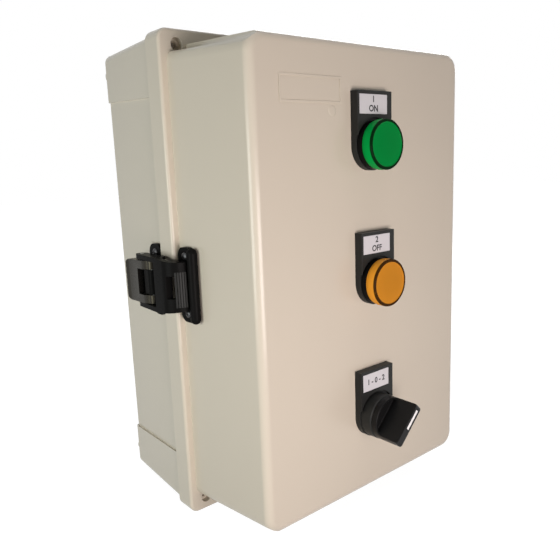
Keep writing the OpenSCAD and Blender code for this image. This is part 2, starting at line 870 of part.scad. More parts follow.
module terminal_screws() color("#c8cacb")
    for (i = [0:terminals - 1], s = side_signs)
        slotted(terminal_x(i), strip_at + s * terminal_hole_z, y_strip + terminal_hole_h, terminal_screw_h,
            terminal_screw_d);

module end_stops() color("#8d9091")
    for (s = side_signs)
        across(s * (strip_l + end_w) / 2, end_w) difference() {
            translate([y_strip + end_drop, strip_at - terminal_h / 2 + end_in])
                square([terminal_d - end_drop, terminal_h - 2 * end_in]);
            rail_room(strip_at);
        }

// Cover

module cover_hollow() {
    difference() {
        drafted(y_flange + over, nose_w - 2 * wall, nose_h - 2 * wall, y_inner,
            front_w - 2 * wall, front_h - 2 * wall, nose_r - wall, inner_edge);
        for (sx = side_signs, sz = side_signs)
            rod(sx * screw_x, sz * screw_z, y_ledge, y_ledge - y_front, 2 * pillar_r);
    }
    difference() {
        forward(y_skirt + over, y_skirt + over - y_ledge)
            rounded(box_w - 2 * skirt_t, box_h - 2 * skirt_t, skirt_r - skirt_t);
        for (sx = side_signs, sz = side_signs)
            rod(sx * screw_x, sz * screw_z, y_rim - seal_gap, y_rim - y_ledge, boss_d);
    }
    forward(y_ledge + eps, flange_t + 2 * eps) difference() {
        rounded(nose_w - 2 * wall, nose_h - 2 * wall, nose_r - wall);
        at_corners(screw_x, screw_z) circle(pillar_r);
    }
}

module cover() color("#ddd1bd") difference() {
    union() {
        drafted(y_flange + over, nose_w, nose_h, y_front, front_w, front_h, nose_r, edge_r);
        drafted(y_skirt, box_w, box_h, y_flange, box_w, box_h, skirt_r, lip_r);
    }
    cover_hollow();
    for (sx = side_signs, sz = side_signs) {
        rod(sx * screw_x, sz * screw_z, y_flange, nose_d + over, scoop_d);
        rod(sx * screw_x, sz * screw_z, y_flange + cbore_h, cbore_h + over, cbore_d);
        rod(sx * screw_x, sz * screw_z, y_skirt, skirt_d, corner_hole_d);
    }
    for (at = devices) rod(at[0], at[1], y_inner + over, wall + 2 * over, device_hole_d);
    for (z = hinge_heights, s = side_signs)
        side_hole(box_w / 2 - 2 * skirt_t, box_w / 2 + over, cover_screw_y(), z + s * leaf_screw_z);
    on_nose_side() for (s = side_signs)
        side_hole(-over, 2 * wall, -keeper_screw_in, s * keeper_hole_z);
}

function cover_screw_y() = y_skirt - (skirt_d - lip_r + axis_out + leaf_back) / 2;

// Frame on the nose's left side: X outwards is minus, Y along the draft, origin at the keeper's rear edge
module on_nose_side() {
    translate([-nose_w / 2, y_flange, latch_z]) rotate([0, 0, nose_slope])
        translate([0, keeper_y - y_flange, 0]) children();
}

// Seal in the cover, round the screw bosses
module gasket() color("#2d2d2d") forward(y_ledge + gasket_t, gasket_t) difference() {
    difference() {
        base_outline(wall / 2 - gasket_w / 2);
        at_corners(screw_x, screw_z) circle(ring_mid - gasket_w / 2);
    }
    difference() {
        base_outline(wall / 2 + gasket_w / 2);
        at_corners(screw_x, screw_z) circle(ring_mid + gasket_w / 2);
    }
}

// Hinges on the right side, in plan about the pin's axis

module hinge_base_leaves() color("#232426")
    for (z = hinge_heights) translate([hinge_x, y_skirt, z]) difference() {
        union() {
            translate([pad_x - hinge_x, leaf_gap, -hinge_h / 2]) cube([leaf_t, base_leaf_d, hinge_h]);
            for (s = side_signs) translate([0, 0, s * eye_z]) {
                cylinder(d = barrel_d, h = eye_h, center = true);
                translate([pad_x - hinge_x, leaf_gap, -eye_h / 2]) cube([hinge_x - pad_x, leaf_arm_t, eye_h]);
            }
        }
        cylinder(d = hinge_pin_d + 2 * fit, h = hinge_h + 2 * over, center = true);
        for (s = side_signs)
            side_hole(pad_x - hinge_x - over, pad_x - hinge_x + leaf_t + over, base_screw_y() - y_skirt,
                s * leaf_screw_z);
    }

module hinge_cover_leaves() color("#232426")
    for (z = hinge_heights) translate([hinge_x, y_skirt, z]) difference() {
        union() {
            translate([-axis_out, lip_r - skirt_d, -hinge_h / 2])
                cube([leaf_t, skirt_d - lip_r - axis_out - leaf_back, hinge_h]);
            cylinder(d = barrel_d, h = knuckle_h, center = true);
            translate([-axis_out, -axis_out - barrel_d / 2, -knuckle_h / 2])
                cube([axis_out + over, axis_out + barrel_d / 2, knuckle_h]);
        }
        cylinder(d = hinge_pin_d + 2 * fit, h = hinge_h, center = true);
        for (s = side_signs)
            side_hole(-axis_out - over, leaf_t - axis_out + over, cover_screw_y() - y_skirt,
                s * leaf_screw_z);
    }

module hinge_pins() color("#a9abac")
    for (z = hinge_heights) translate([hinge_x, y_skirt, z - hinge_h / 2]) {
        cylinder(d = hinge_pin_d, h = hinge_h);
        translate([0, 0, -pin_head_h]) cylinder(d = pin_head_d, h = pin_head_h);
    }

module hinge_base_screws() color("#8c8e8f")
    for (z = hinge_heights, s = side_signs)
        side_screw(pad_x + leaf_t, base_screw_y(), z + s * leaf_screw_z, leaf_screw_d, leaf_t + wall,
            leaf_head_d, leaf_head_h, 1);

module hinge_cover_screws() color("#8c8e8f")
    for (z = hinge_heights, s = side_signs)
        side_screw(box_w / 2 + leaf_t, cover_screw_y(), z + s * leaf_screw_z, leaf_screw_d,
            leaf_t + skirt_t - screw_short, leaf_head_d, leaf_head_h, 1);

// Latch on the left side

module latch_bracket() color("#1c1c1d") translate([0, 0, latch_z]) difference() {
    union() {
        translate([-pad_x, bracket_screw_y(), 0]) rotate([0, -90, 0]) linear_extrude(bracket_t)
            rounded(latch_plate_h, bracket_w, bracket_r);
        translate([0, 0, -knuckle_z / 2]) linear_extrude(knuckle_z) {
            translate(pin_a) circle(latch_barrel_r);
            polygon([
                [-pad_x - over, pin_a[1] + knuckle_back],
                [-pad_x - over, y_skirt + leaf_gap],
                [-box_w / 2 - over, y_skirt + leaf_gap],
                pin_a + latch_barrel_r * [0.8, -0.35],
                pin_a - [knuckle_out, 0],
                pin_a + [-knuckle_out, knuckle_back - knuckle_edge],
                pin_a + [knuckle_edge - knuckle_out, knuckle_back]
            ]);
        }
    }
    translate(pin_a) cylinder(d = latch_pin_d + 2 * fit, h = hook_h, center = true);
    for (s = side_signs)
        side_hole(-pad_x - bracket_t - over, over - pad_x, bracket_screw_y(), s * keeper_hole_z);
}

module bracket_screws() color("#3a3a3b")
    for (s = side_signs)
        side_screw(-pad_x - bracket_t, bracket_screw_y(), latch_z + s * keeper_hole_z, leaf_screw_d,
            bracket_t + wall, latch_head_d, latch_head_h, -1);

module latch_pivot_pin() color("#77797a")
    translate([pin_a[0], pin_a[1], latch_z]) cylinder(d = latch_pin_d, h = lever_h - over, center = true);

// Lever seen along its pins: from the barrels outwards, then along into the finger plate
module lever_outline() polygon([
    pin_a + latch_barrel_r * [-0.8, -0.3],
    [paddle_x + paddle_dip, pin_a[1] + latch_barrel_r],
    [paddle_x + paddle_dip, pin_b[1] + latch_barrel_r],
    [paddle_x, paddle_end - paddle_flare],
    [paddle_x - paddle_lip, paddle_end],
    [paddle_x + paddle_t / 2, paddle_end + paddle_lip],
    [paddle_x + paddle_t, paddle_end - paddle_flare],
    [paddle_x + paddle_t + paddle_dip, pin_b[1] + paddle_flare],
    pin_b + ear_r * [0.4, 0.4],
    pin_a + latch_barrel_r * [0.6, 0]
]);

module latch_lever() color("#1c1c1d") translate([0, 0, latch_z]) difference() {
    union() {
        linear_extrude(lever_h, center = true) lever_outline();
        translate(pin_a) cylinder(r = latch_barrel_r, h = lever_h, center = true);
        translate(pin_b) cylinder(r = ear_r, h = lever_h, center = true);
    }
    for (s = side_signs)
        translate([paddle_x - paddle_r, paddle_end + over - paddle_r, s * (lever_h / 2 - paddle_r)])
            rotate([0, 90, 0]) linear_extrude(4 * paddle_r) scale([-s, 1]) end_corner();
    translate([pin_a[0] - hook_h, pin_a[1] - hook_bend_r, -knuckle_z / 2 - run_gap])
        cube([2 * hook_h, hook_bend_r + lever_window, knuckle_z + 2 * run_gap]);
    translate(pin_a) cylinder(d = latch_pin_d + 2 * fit, h = hook_h, center = true);
    translate(pin_b) cylinder(d = latch_pin_d + 2 * fit, h = hook_h, center = true);
}

// What is cut from a corner of the free end to round it
module end_corner() difference() {
    square(2 * paddle_r);
    circle(paddle_r);
}

module latch_hook_pins() color("#77797a")
    for (s = side_signs)
        translate([pin_b[0], pin_b[1], latch_z + s * (hook_h + knuckle_z + 2 * over) / 4])
            cylinder(d = latch_pin_d, h = (hook_h - knuckle_z) / 2 - over, center = true);

// Side view of the hook: arms from its pins, a flat face and a bent claw
module hook_outline() {
    face_x = hook_bend[0] - hook_bend_r;
    translate(pin_b) circle(arm_r);
    polygon([
        pin_b + [arm_r, 0],
        pin_b - [arm_r, 0],
        [face_x, hook_window_y],
        [face_x, hook_bend[1]],
        [face_x + hook_skin, hook_bend[1]],
        [face_x + hook_skin, hook_window_y - hook_skin],
        [-box_w / 2 - hook_lift, hook_window_y]
    ]);
    difference() {
        translate(hook_bend) circle(hook_bend_r);
        translate(hook_bend) circle(hook_bend_r - hook_skin);
        translate(hook_bend - [2 * hook_bend_r, 0]) square(4 * hook_bend_r);
        translate(hook_bend - [0, 2 * hook_bend_r]) square(4 * hook_bend_r);
    }
}

// What is cut from the claw's top and bottom, in depth and height
module claw_taper(s) {
    tip_y = hook_bend[1] - hook_bend_r - over;
    polygon([
        [hook_window_y, s * hook_h / 2],
        [tip_y, s * (hook_h / 2 - hook_taper)],
        [tip_y, s * (hook_h / 2 + over)],
        [hook_window_y, s * (hook_h / 2 + over)]
    ]);
}

module latch_hook() color("#1c1c1d") translate([0, 0, latch_z]) difference() {
    linear_extrude(hook_h, center = true) hook_outline();
    translate([-2 * box_w, hook_window_y, arm_t - hook_h / 2]) cube([2 * box_w, box_w, hook_h - 2 * arm_t]);
    translate([-box_w, hook_slot_y, -hook_slot_h / 2])
        cube([box_w / 2 - hook_skin, hook_slot_w, hook_slot_h]);
    translate(pin_b) cylinder(d = latch_pin_d + 2 * fit, h = hook_h + 2 * over, center = true);
    for (s = side_signs)
        across(hook_bend[0], 4 * hook_bend_r) claw_taper(s);
}

// Keeper on the cover: a pill-shaped plate, a low lip under the claw and a round front bar
module latch_keeper() color("#1c1c1d") on_nose_side() difference() {
    bar_y = keeper_bar_d / 2 - keeper_w;
    bar_z = (latch_plate_h - keeper_bar_d) / 2;
    union() {
        translate([0, -keeper_plate_w / 2, 0]) rotate([0, -90, 0]) linear_extrude(keeper_t)
            rounded(latch_plate_h, keeper_plate_w, keeper_r);
        translate([-keeper_t, bar_y, 0]) cylinder(d = keeper_bar_d, h = 2 * bar_z, center = true);
        for (s = side_signs) translate([-keeper_t, bar_y, s * bar_z]) sphere(d = keeper_bar_d);
        translate([-keeper_t - keeper_lip_h, -keeper_lip_in - keeper_lip_w, -keeper_lip_l / 2])
            cube([keeper_lip_h + over, keeper_lip_w, keeper_lip_l]);
    }
    translate([0, -2 * keeper_w, -latch_plate_h]) cube([2 * keeper_w, 4 * keeper_w, 2 * latch_plate_h]);
    for (s = side_signs)
        side_hole(-keeper_t - over, over, -keeper_screw_in, s * keeper_hole_z);
}

module keeper_screws() color("#3a3a3b") on_nose_side()
    for (s = side_signs)
        side_screw(-keeper_t, -keeper_screw_in, s * keeper_hole_z, leaf_screw_d,
            keeper_t + wall - screw_short, latch_head_d, latch_head_h, -1);

// Front devices

module holder(at) difference() {
    union() {
        forward(y_front, holder_t) translate(at) {
            circle(d = holder_w);
            translate([-holder_w / 2, 0]) square([holder_w, holder_up]);
        }
        forward(y_front, holder_top_t) translate(at) difference() {
            translate([-holder_w / 2, holder_low]) square([holder_w, holder_up - holder_low]);
            circle(d = lens_d + 2 * holder_arc);
        }
    }
    rod(at[0], at[1], y_front + over, holder_top_t + 2 * over, device_hole_d);
    forward(y_front - holder_top_t + label_t, label_t + over)
        translate(label_at(at)) square([label_w + 2 * fit, label_h + 2 * fit], center = true);
}

function label_at(at) = at + [label_shift, holder_up - label_drop - label_h / 2];

module label(at) {
    forward(y_front - holder_top_t + label_t, label_t - label_gap)
        translate(label_at(at)) square([label_w, label_h], center = true);
}

// Lens cap: a groove above its foot, a proud rim and a dished front
module lens(at) {
    r = lens_d / 2;
    turned(at, y_cap) polygon([
        [r - lens_t, 0],
        [r - lens_groove, 0],
        [r - lens_groove, lens_foot],
        [r, lens_foot + lens_groove],
        [r, lens_h - lens_edge],
        [r - lens_edge, lens_h],
        [r - lens_rim, lens_h],
        [r - lens_rim - lens_swell, lens_h - lens_dish],
        [0, lens_h - lens_dish + lens_swell],
        [0, lens_h - lens_dish - lens_t],
        [r - lens_t, lens_h - lens_dish - lens_t]
    ]);
}

// Lamp: collar and head under the lens, threaded neck through the cover, tail with a terminal bar
module lamp(at) {
    head_d = lens_d - 2 * lens_t - 2 * clear;
    head_h = collar_h + lamp_head_h;
    turned(at, y_lens) polygon([
        [0, y_lens - y_neck],
        [neck_d / 2, y_lens - y_neck],
        [neck_d / 2, 0],
        [lens_d / 2 - collar_in, 0],
        [lens_d / 2 - collar_in, collar_h],
        [head_d / 2, collar_h],
        [head_d / 2, head_h],
        [bulb_d / 2, head_h],
        [bulb_d / 2 - over, head_h + bulb_h - over],
        [0, head_h + bulb_h]
    ]);
    rod(at[0], at[1], y_tail, lamp_tail_l + eps, lamp_tail_d);
    difference() {
        translate([at[0], y_tail + lamp_bar[1] / 2 - eps, at[1]]) cube(lamp_bar, center = true);
        for (s = side_signs)
            rod(at[0], at[1] + s * lamp_screw_z, y_tail + lamp_bar[1] + over, lamp_screw_h + over,
                lamp_screw_d + 2 * fit);
    }
}

// Clamping screws, put in from behind
module rear_screw(x, z, y_seat, depth, d) {
    difference() {
        rod(x, z, y_seat + depth, depth, d);
        translate([x, y_seat + depth, z]) cube([d * slot_long, depth, d * slot_part], center = true);
    }
}

module lamp_screws() color("#c8cacb")
    for (at = [devices[0], devices[1]], s = side_signs)
        rear_screw(at[0], at[1] + s * lamp_screw_z, y_tail + lamp_bar[1] - lamp_screw_h, lamp_screw_h,
            lamp_screw_d);

module green_holder() color("#1d1d1e") holder(devices[0]);
module amber_holder() color("#1d1d1e") holder(devices[1]);
module selector_holder() color("#1d1d1e") holder(devices[2]);
module green_label() color("#ece8ee") label(devices[0]);
module amber_label() color("#ece8ee") label(devices[1]);
module selector_label() color("#ece8ee") label(devices[2]);
module green_lens() color("#0c8f3f") lens(devices[0]);
module amber_lens() color("#d58a22") lens(devices[1]);
module green_lamp() color("#26272a") lamp(devices[0]);
module amber_lamp() color("#26272a") lamp(devices[1]);

// Fixed bezel of the selector, its neck and the bore for the shaft
module selector_bezel() color("#1d1d1e") {
    bore = shaft_d / 2 + fit;
    turned(devices[2], y_lens) polygon([
        [bore, y_lens - y_carrier],
        [neck_d / 2, y_lens - y_carrier],
        [neck_d / 2, 0],
        [bezel_d / 2, 0],
        [bezel_d / 2, bezel_h - bezel_edge],
        [bezel_d / 2 - bezel_edge, bezel_h],
        [bore, bezel_h]
    ]);
}

// The knob's own frame: at its foot, turned as it stands
module on_knob() {
    translate([devices[2][0], y_knob, devices[2][1]]) rotate([0, grip_turn, 0]) children();
}

// Knob: a dished disc with an upright grip across it, on a shaft
module selector_knob() color("#1b1b1c") on_knob() difference() {
    union() {
        difference() {
            rotate([90, 0, 0]) cylinder(r = knob_r, h = knob_disc_h);
            translate([0, knob_sink - knob_disc_h, 0]) rotate([90, 0, 0])
                cylinder(r = knob_r - knob_rim, h = knob_disc_h);
        }
        intersection() {
            rotate([90, 0, 0]) cylinder(r = knob_r, h = knob_h);
            rotate([90, 0, 90]) linear_extrude(4 * knob_r, center = true) grip_side();
            linear_extrude(4 * knob_r, center = true) polygon([
                [-grip_foot_t / 2, 0],
                [grip_foot_t / 2, 0],
                [grip_foot_t / 2, -knob_disc_h],
                [grip_t / 2, -knob_h],
                [-grip_t / 2, -knob_h],
                [-grip_foot_t / 2, -knob_disc_h]
            ]);
        }
        translate([0, y_carrier - y_knob, 0]) rotate([90, 0, 0])
            cylinder(d = shaft_d, h = y_carrier - y_knob + over);
    }
    translate([-line_w / 2 - fit, -knob_h - over, line_z - line_l / 2 - fit])
        cube([line_w + 2 * fit, line_t + over, line_l + 2 * fit]);
}

// Grip seen from its side: depth forward against length, its front corners rounded
module grip_side() {
    r = bezel_d / 2;
    translate([grip_corner - knob_h, -r]) square([knob_h - grip_corner, 2 * r]);
    translate([-knob_h, grip_corner - r]) square([knob_h, 2 * (r - grip_corner)]);
    for (s = side_signs) translate([grip_corner - knob_h, s * (r - grip_corner)]) circle(grip_corner);
}

module selector_line() color("#f2f2f0") on_knob()
    translate([-line_w / 2, -knob_h, line_z - line_l / 2]) cube([line_w, line_t, line_l]);

module selector_carrier() color("#2a2b2d") difference() {
    forward(y_carrier, carrier_t) translate(devices[2]) rounded(holder_w, carrier_size, carrier_r);
    rod(devices[2][0], devices[2][1], y_carrier + over, carrier_t + 2 * over, neck_d + 2 * fit);
}

module contact_blocks() color("#3a6d4a")
    for (s = side_signs) difference() {
        forward(y_contacts, contact_d)
            translate(devices[2] + [s * contact_x, 0]) rounded(contact_w, contact_h, over);
        for (sz = side_signs)
            rod(devices[2][0] + s * contact_x, devices[2][1] + sz * contact_screw_z, y_contacts + over,
                contact_hole_h + over, contact_screw_d + 2 * fit);
    }

module contact_screws() color("#c8cacb")
    for (s = side_signs, sz = side_signs)
        rear_screw(devices[2][0] + s * contact_x, devices[2][1] + sz * contact_screw_z,
            y_contacts - contact_hole_h, contact_screw_h, contact_screw_d);

module seal_washers() color("#2d2d2d")
    for (at = devices) difference() {
        rod(at[0], at[1], y_nut, washer_t, washer_d);
        rod(at[0], at[1], y_nut + over, washer_t + 2 * over, neck_d + 2 * fit);
    }

module lock_nuts() color("#26272a")
    for (at = devices) difference() {
        translate([at[0], y_nut + nut_t, at[1]]) rotate([90, 0, 0])
            cylinder(d = nut_af / cos(30), h = nut_t, $fn = 6);
        rod(at[0], at[1], y_nut + nut_t + over, nut_t + 2 * over, neck_d + 2 * fit);
    }

base_tub();
mounting_plate();
plate_screws();
starter_rail();
terminal_rail();
rail_screws();
contactor_base();
contactor_front();
contactor_screws();
contactor_carrier();
overload_relay();
relay_prongs();
relay_screws();
relay_dial();
reset_button();
stop_button();
terminal_blocks();
terminal_screws();
end_stops();
cover();
gasket();
hinge_base_leaves();
hinge_cover_leaves();
hinge_pins();
hinge_base_screws();
hinge_cover_screws();
latch_bracket();
bracket_screws();
latch_pivot_pin();
latch_lever();
latch_hook_pins();
latch_hook();
latch_keeper();
keeper_screws();
green_holder();
green_label();
green_lens();
green_lamp();
amber_holder();
amber_label();
amber_lens();
amber_lamp();
lamp_screws();
selector_holder();
selector_label();
selector_bezel();
selector_knob();
selector_line();
selector_carrier();
contact_blocks();
contact_screws();
seal_washers();
lock_nuts();
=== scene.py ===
import json
import math

import bpy
from mathutils import Matrix, Vector

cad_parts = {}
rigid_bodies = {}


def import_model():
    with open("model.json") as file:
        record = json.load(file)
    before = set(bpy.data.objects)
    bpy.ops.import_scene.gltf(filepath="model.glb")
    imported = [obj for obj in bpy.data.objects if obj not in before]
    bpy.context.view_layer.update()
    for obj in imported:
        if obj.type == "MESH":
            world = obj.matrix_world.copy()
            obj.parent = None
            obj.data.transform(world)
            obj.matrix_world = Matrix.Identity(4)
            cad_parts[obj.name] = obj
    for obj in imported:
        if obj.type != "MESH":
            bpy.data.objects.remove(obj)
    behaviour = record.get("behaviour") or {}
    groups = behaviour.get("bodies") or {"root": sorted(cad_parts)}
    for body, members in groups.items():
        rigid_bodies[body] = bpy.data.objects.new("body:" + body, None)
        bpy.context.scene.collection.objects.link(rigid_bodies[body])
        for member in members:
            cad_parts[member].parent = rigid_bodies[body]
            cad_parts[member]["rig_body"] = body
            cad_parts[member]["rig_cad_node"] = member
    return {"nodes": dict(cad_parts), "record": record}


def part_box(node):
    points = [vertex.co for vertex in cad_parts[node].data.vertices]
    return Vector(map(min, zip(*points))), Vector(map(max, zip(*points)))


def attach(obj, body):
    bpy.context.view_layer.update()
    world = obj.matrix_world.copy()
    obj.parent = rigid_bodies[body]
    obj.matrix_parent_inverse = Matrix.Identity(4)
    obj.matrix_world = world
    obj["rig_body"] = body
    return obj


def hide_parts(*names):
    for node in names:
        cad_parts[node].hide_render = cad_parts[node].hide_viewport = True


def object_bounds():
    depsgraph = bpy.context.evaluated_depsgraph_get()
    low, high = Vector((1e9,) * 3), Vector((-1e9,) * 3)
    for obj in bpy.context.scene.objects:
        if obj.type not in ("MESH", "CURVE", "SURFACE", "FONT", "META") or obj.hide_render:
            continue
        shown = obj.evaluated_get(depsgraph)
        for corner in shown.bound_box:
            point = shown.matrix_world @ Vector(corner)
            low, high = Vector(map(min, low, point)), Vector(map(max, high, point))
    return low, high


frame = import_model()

bl_info = {
    "name": "Enclosed Motor Starter",
    "version": (1, 0, 0),
    "blender": (4, 5, 0),
    "location": "3D View > Sidebar > Starter",
    "description": "Dresses the packed frame of an enclosed motor starter, piece by piece",
    "category": "Object",
}

MM = 0.001
CAD_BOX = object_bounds()
BODY_OF = {
    node: body
    for body, nodes in frame["record"]["behaviour"]["bodies"].items()
    for node in nodes
}
SLOT_OF = {part["node"]: part["material_slot"] for part in frame["record"]["subparts"]}


def middle(node):
    """Centre of a node's box."""
    low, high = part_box(node)
    return (low + high) / 2


# Sizes that the pieces share with the frame
COVER_LOW, COVER_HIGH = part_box("cover")
FRONT_Y = COVER_LOW.y
FLANGE_Y = -89.2 * MM
NOSE_FOOT = Vector((95, 0, 146.5)) * MM
NOSE_IN = Vector((4.5, -72.4, 4.0)) * MM
NOSE_TILT = math.atan2(NOSE_IN.x, -NOSE_IN.y)
LENS_LOW, LENS_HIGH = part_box("green_lens")
LENS_R = (LENS_HIGH.x - LENS_LOW.x) / 2
# Width of the near-black ring of painted shade round the lens face
LENS_RIM_SHADE = 1.7 * MM
LATCH_Z = middle("latch_hook").z
HOOK_BEND = Vector((-99.5 * MM, -92.0 * MM, LATCH_Z))
HOOK_R = 11 * MM
HEAD_R = 2.5 * MM
HEAD_H = 1.2 * MM

# Facets along the nose's corners: drop on the side wall, slope, cutter and how far along it sits
FACET_DROP = 7 * MM
FACET_SLOPE = math.radians(38)
FACET_CUTTER = Vector((120, 50, 20)) * MM
FACET_MIDDLE = 40 * MM
FOOT_FILLET = 2.0 * MM
RIM_MARGIN = 4 * MM
NOSE_REACH = 5 * MM

# Small relief on the front and on the latch
FIELD_LINE = 1.3 * MM
FIELD_RISE = 0.5 * MM
FIELD_ROUND = 0.32 * MM
MARK_R = 3.0 * MM
MARK_FLAT = 0.11
RIB_FIRST = 233
RIB_STEP = 8
RIB_W = 1.2 * MM
RIB_DROP = 1.5 * MM
RIB_ROUND = 0.25 * MM
SHANK_R = 1.5 * MM
SHANK_L = 4 * MM
RECESS = Vector((HEAD_R * 1.15, HEAD_R * 0.26, HEAD_H * 1.1))

# Lettering: a capital's share of the font's size, and what thickens its strokes
CAPITAL = 0.69
LINE_SPACE = 1.05
STROKE_SWELL = 0.13 * MM
INK_RISE = 0.02 * MM

# Tolerances, and the turn past which an edge counts as sharp
MERGE = 0.01 * MM
FLAT = math.radians(0.4)
SHARP = math.radians(32)
HEAD_SHARP = math.radians(40)
ON_PLANE = 0.03 * MM

# Each lamp's name, power setting, size, place, aim and colour
LAMPS = (
    ("key_light", "key_power", (0.3, 0.2),
     (-0.15, -0.6, -0.06), (-0.05, -0.16, -0.05), (1.0, 0.9, 0.89)),
    ("fill_light", "fill_power", (0.25, 0.25),
     (-0.55, -0.13, 0.01), (-0.095, -0.1, 0.01), (0.945, 1.0, 0.97)),
    ("top_light", "top_power", (1.2, 1.2), (0.1, -0.3, 1.5), (0, -0.09, 0), (1, 1, 1)),
    ("rim_light", "rim_power", (0.9, 0.9), (1.1, 0.7, 0.7), (0, -0.09, 0), (1, 1, 1)),
)
CAMERA_RIGHT = Vector((0.766235, -0.641412, -0.038405))
CAMERA_UP = Vector((0.152173, 0.123069, 0.980662))
FLOOR_SIZE = 8
FLOOR_BELOW = 0.3 * MM
FLOOR_NEAR = 0.25
FLOOR_FAR = 0.6
FLOOR_CATCH = 14


# Shader maths


class Wire:
    """A shader value that takes part in sums, so that a mask reads as arithmetic."""

    def __init__(self, bench, socket):
        self.bench = bench
        self.socket = socket

    def maths(self, operation, first, second=None):
        sockets = {0: first} if second is None else {0: first, 1: second}
        return self.bench.add("ShaderNodeMath", {"operation": operation}, sockets)

    def __add__(self, other):
        return self.maths("ADD", self, other)

    def __radd__(self, other):
        return self.maths("ADD", other, self)

    def __rsub__(self, other):
        return self.maths("SUBTRACT", other, self)

    def __mul__(self, other):
        return self.maths("MULTIPLY", self, other)

    def __rmul__(self, other):
        return self.maths("MULTIPLY", other, self)

    def __pow__(self, other):
        return self.maths("POWER", self, other)

    def most(self, other):
        return self.maths("MAXIMUM", self, other)

    def ramp(self, low, high):
        """0 at low and 1 at high, with a soft step between."""
        settings = {"interpolation_type": "SMOOTHSTEP"}
        return self.bench.add("ShaderNodeMapRange", settings, {0: self, 1: low, 2: high})


class Bench:
    """The node tree of one finish."""

    def __init__(self, tree):
        self.tree = tree
        tree.nodes.clear()

    def add(self, kind, settings=None, sockets=None, out=0):
        """Adds a node: its settings first, then the values or links of its sockets."""
        node = self.tree.nodes.new(kind)
        for name, value in (settings or {}).items():
            setattr(node, name, value)
        for name, value in (sockets or {}).items():
            if isinstance(value, Wire):
                self.tree.links.new(value.socket, node.inputs[name])
            else:
                node.inputs[name].default_value = value
        return Wire(self, node.outputs[out]) if node.outputs else None

    def place(self):
        return self.add("ShaderNodeTexCoord", out="Object")

    def stretched(self, scale, offset=(0, 0, 0)):
        sockets = {"Vector": self.place(), "Location": offset, "Scale": scale}
        return self.add("ShaderNodeMapping", None, sockets)

    def noise(self, scale, detail=2.0, rough=0.5, vector=None):
        sockets = {"Vector": vector or self.place(), "Scale": scale, "Detail": detail,
                   "Roughness": rough}
        return self.add("ShaderNodeTexNoise", None, sockets, "Fac")

    def axes(self, vector):
        split = self.add("ShaderNodeSeparateXYZ", None, {0: vector})
        return [Wire(self, socket) for socket in split.socket.node.outputs]

    def blend(self, share, first, second):
        """Colour from first to second."""
        sockets = {0: share, 6: first, 7: second}
        return self.add("ShaderNodeMix", {"data_type": "RGBA"}, sockets, 2)

    def bump(self, height, strength, depth):
        sockets = {"Height": height, "Strength": strength, "Distance": depth}
        return self.add("ShaderNodeBump", None, sockets)

    def surface(self, **sockets):
        named = {name.replace("_", " "): value for name, value in sockets.items()}
        shader = self.add("ShaderNodeBsdfPrincipled", None, named)
        self.add("ShaderNodeOutputMaterial", None, {"Surface": shader})


def shade(colour, factor):
    """A colour made lighter or darker, with full alpha."""
    return (*[min(1.0, channel * factor) for channel in colour[:3]], 1.0)


def linear(colour):
    """An sRGB colour as written on a paint card, made linear."""
    return tuple(c / 12.92 if c <= 0.04045 else ((c + 0.055) / 1.055) ** 2.4 for c in colour)


# Finishes


def finish(name):
    material = bpy.data.materials.new(name)
    material.use_nodes = True
    return material, Bench(material.node_tree)


def moulded_shell(name, colour, gloss):
    """Semi-gloss moulded housing: slow tone drift, fine grain and a slight orange peel."""
    material, bench = finish(name)
    drift = bench.noise(14, 3)
    grain = bench.noise(1400, 2)
    peel = bench.noise(380, 2)
    rubbed = bench.noise(55, 4, 0.6)
    tone = bench.blend(drift, shade(colour, 0.99), shade(colour, 1.01))
    tone = bench.blend(grain.ramp(0.62, 0.8) * 0.25, tone, shade(colour, 0.93))
    bench.surface(
        Base_Color=tone,
        Roughness=gloss + 0.03 * rubbed + 0.05 * grain,
        IOR=1.5,
        Specular_IOR_Level=0.35,
        Normal=bench.bump(peel + 0.35 * grain, 0.05, 0.35 * MM),
    )
    return material


def moulded_plastic(name, colour, gloss, peel_depth=0.25, wear=0.1, shine=0.5, tint=(1, 1, 1, 1),
                    index=1.5):
    """Small moulded pieces: tone drift, fine spark-eroded grain and uneven gloss."""
    material, bench = finish(name)
    drift = bench.noise(60, 3)
    grain = bench.noise(2600, 2)
    rubbed = bench.noise(160, 4, 0.6)
    tone = bench.blend(drift, shade(colour, 0.85), shade(colour, 1.15))
    bench.surface(
        Base_Color=tone,
        Roughness=gloss - wear / 2 + wear * rubbed + 0.06 * grain,
        IOR=index,
        Specular_IOR_Level=shine,
        Specular_Tint=tint,
        Normal=bench.bump(grain, 0.06, peel_depth * MM),
    )
    return material


def plated_metal(name, colour, gloss, brushed=(1, 1, 1)):
    """Plated or bare metal: cloudy tone, fine directional lines and uneven gloss."""
    material, bench = finish(name)
    cloud = bench.noise(90, 4, 0.6)
    lines = bench.noise(900, 3, 0.6, bench.stretched(brushed))
    tone = bench.blend(cloud, shade(colour, 0.86), shade(colour, 1.06))
    bench.surface(
        Base_Color=tone,
        Metallic=1.0,
        Roughness=gloss + 0.12 * cloud + 0.1 * lines,
        Normal=bench.bump(lines, 0.08, 0.05 * MM),
    )
    return material


def soft_rubber(name, colour):
    """Closed-cell sealing rubber with a dull, pitted skin."""
    material, bench = finish(name)
    cells = bench.noise(1800, 3, 0.6)
    tone = bench.blend(cells, shade(colour, 0.7), shade(colour, 1.3))
    bench.surface(Base_Color=tone, Roughness=0.75 + 0.15 * cells, IOR=1.45,
                  Normal=bench.bump(cells, 0.25, 0.2 * MM))
    return material


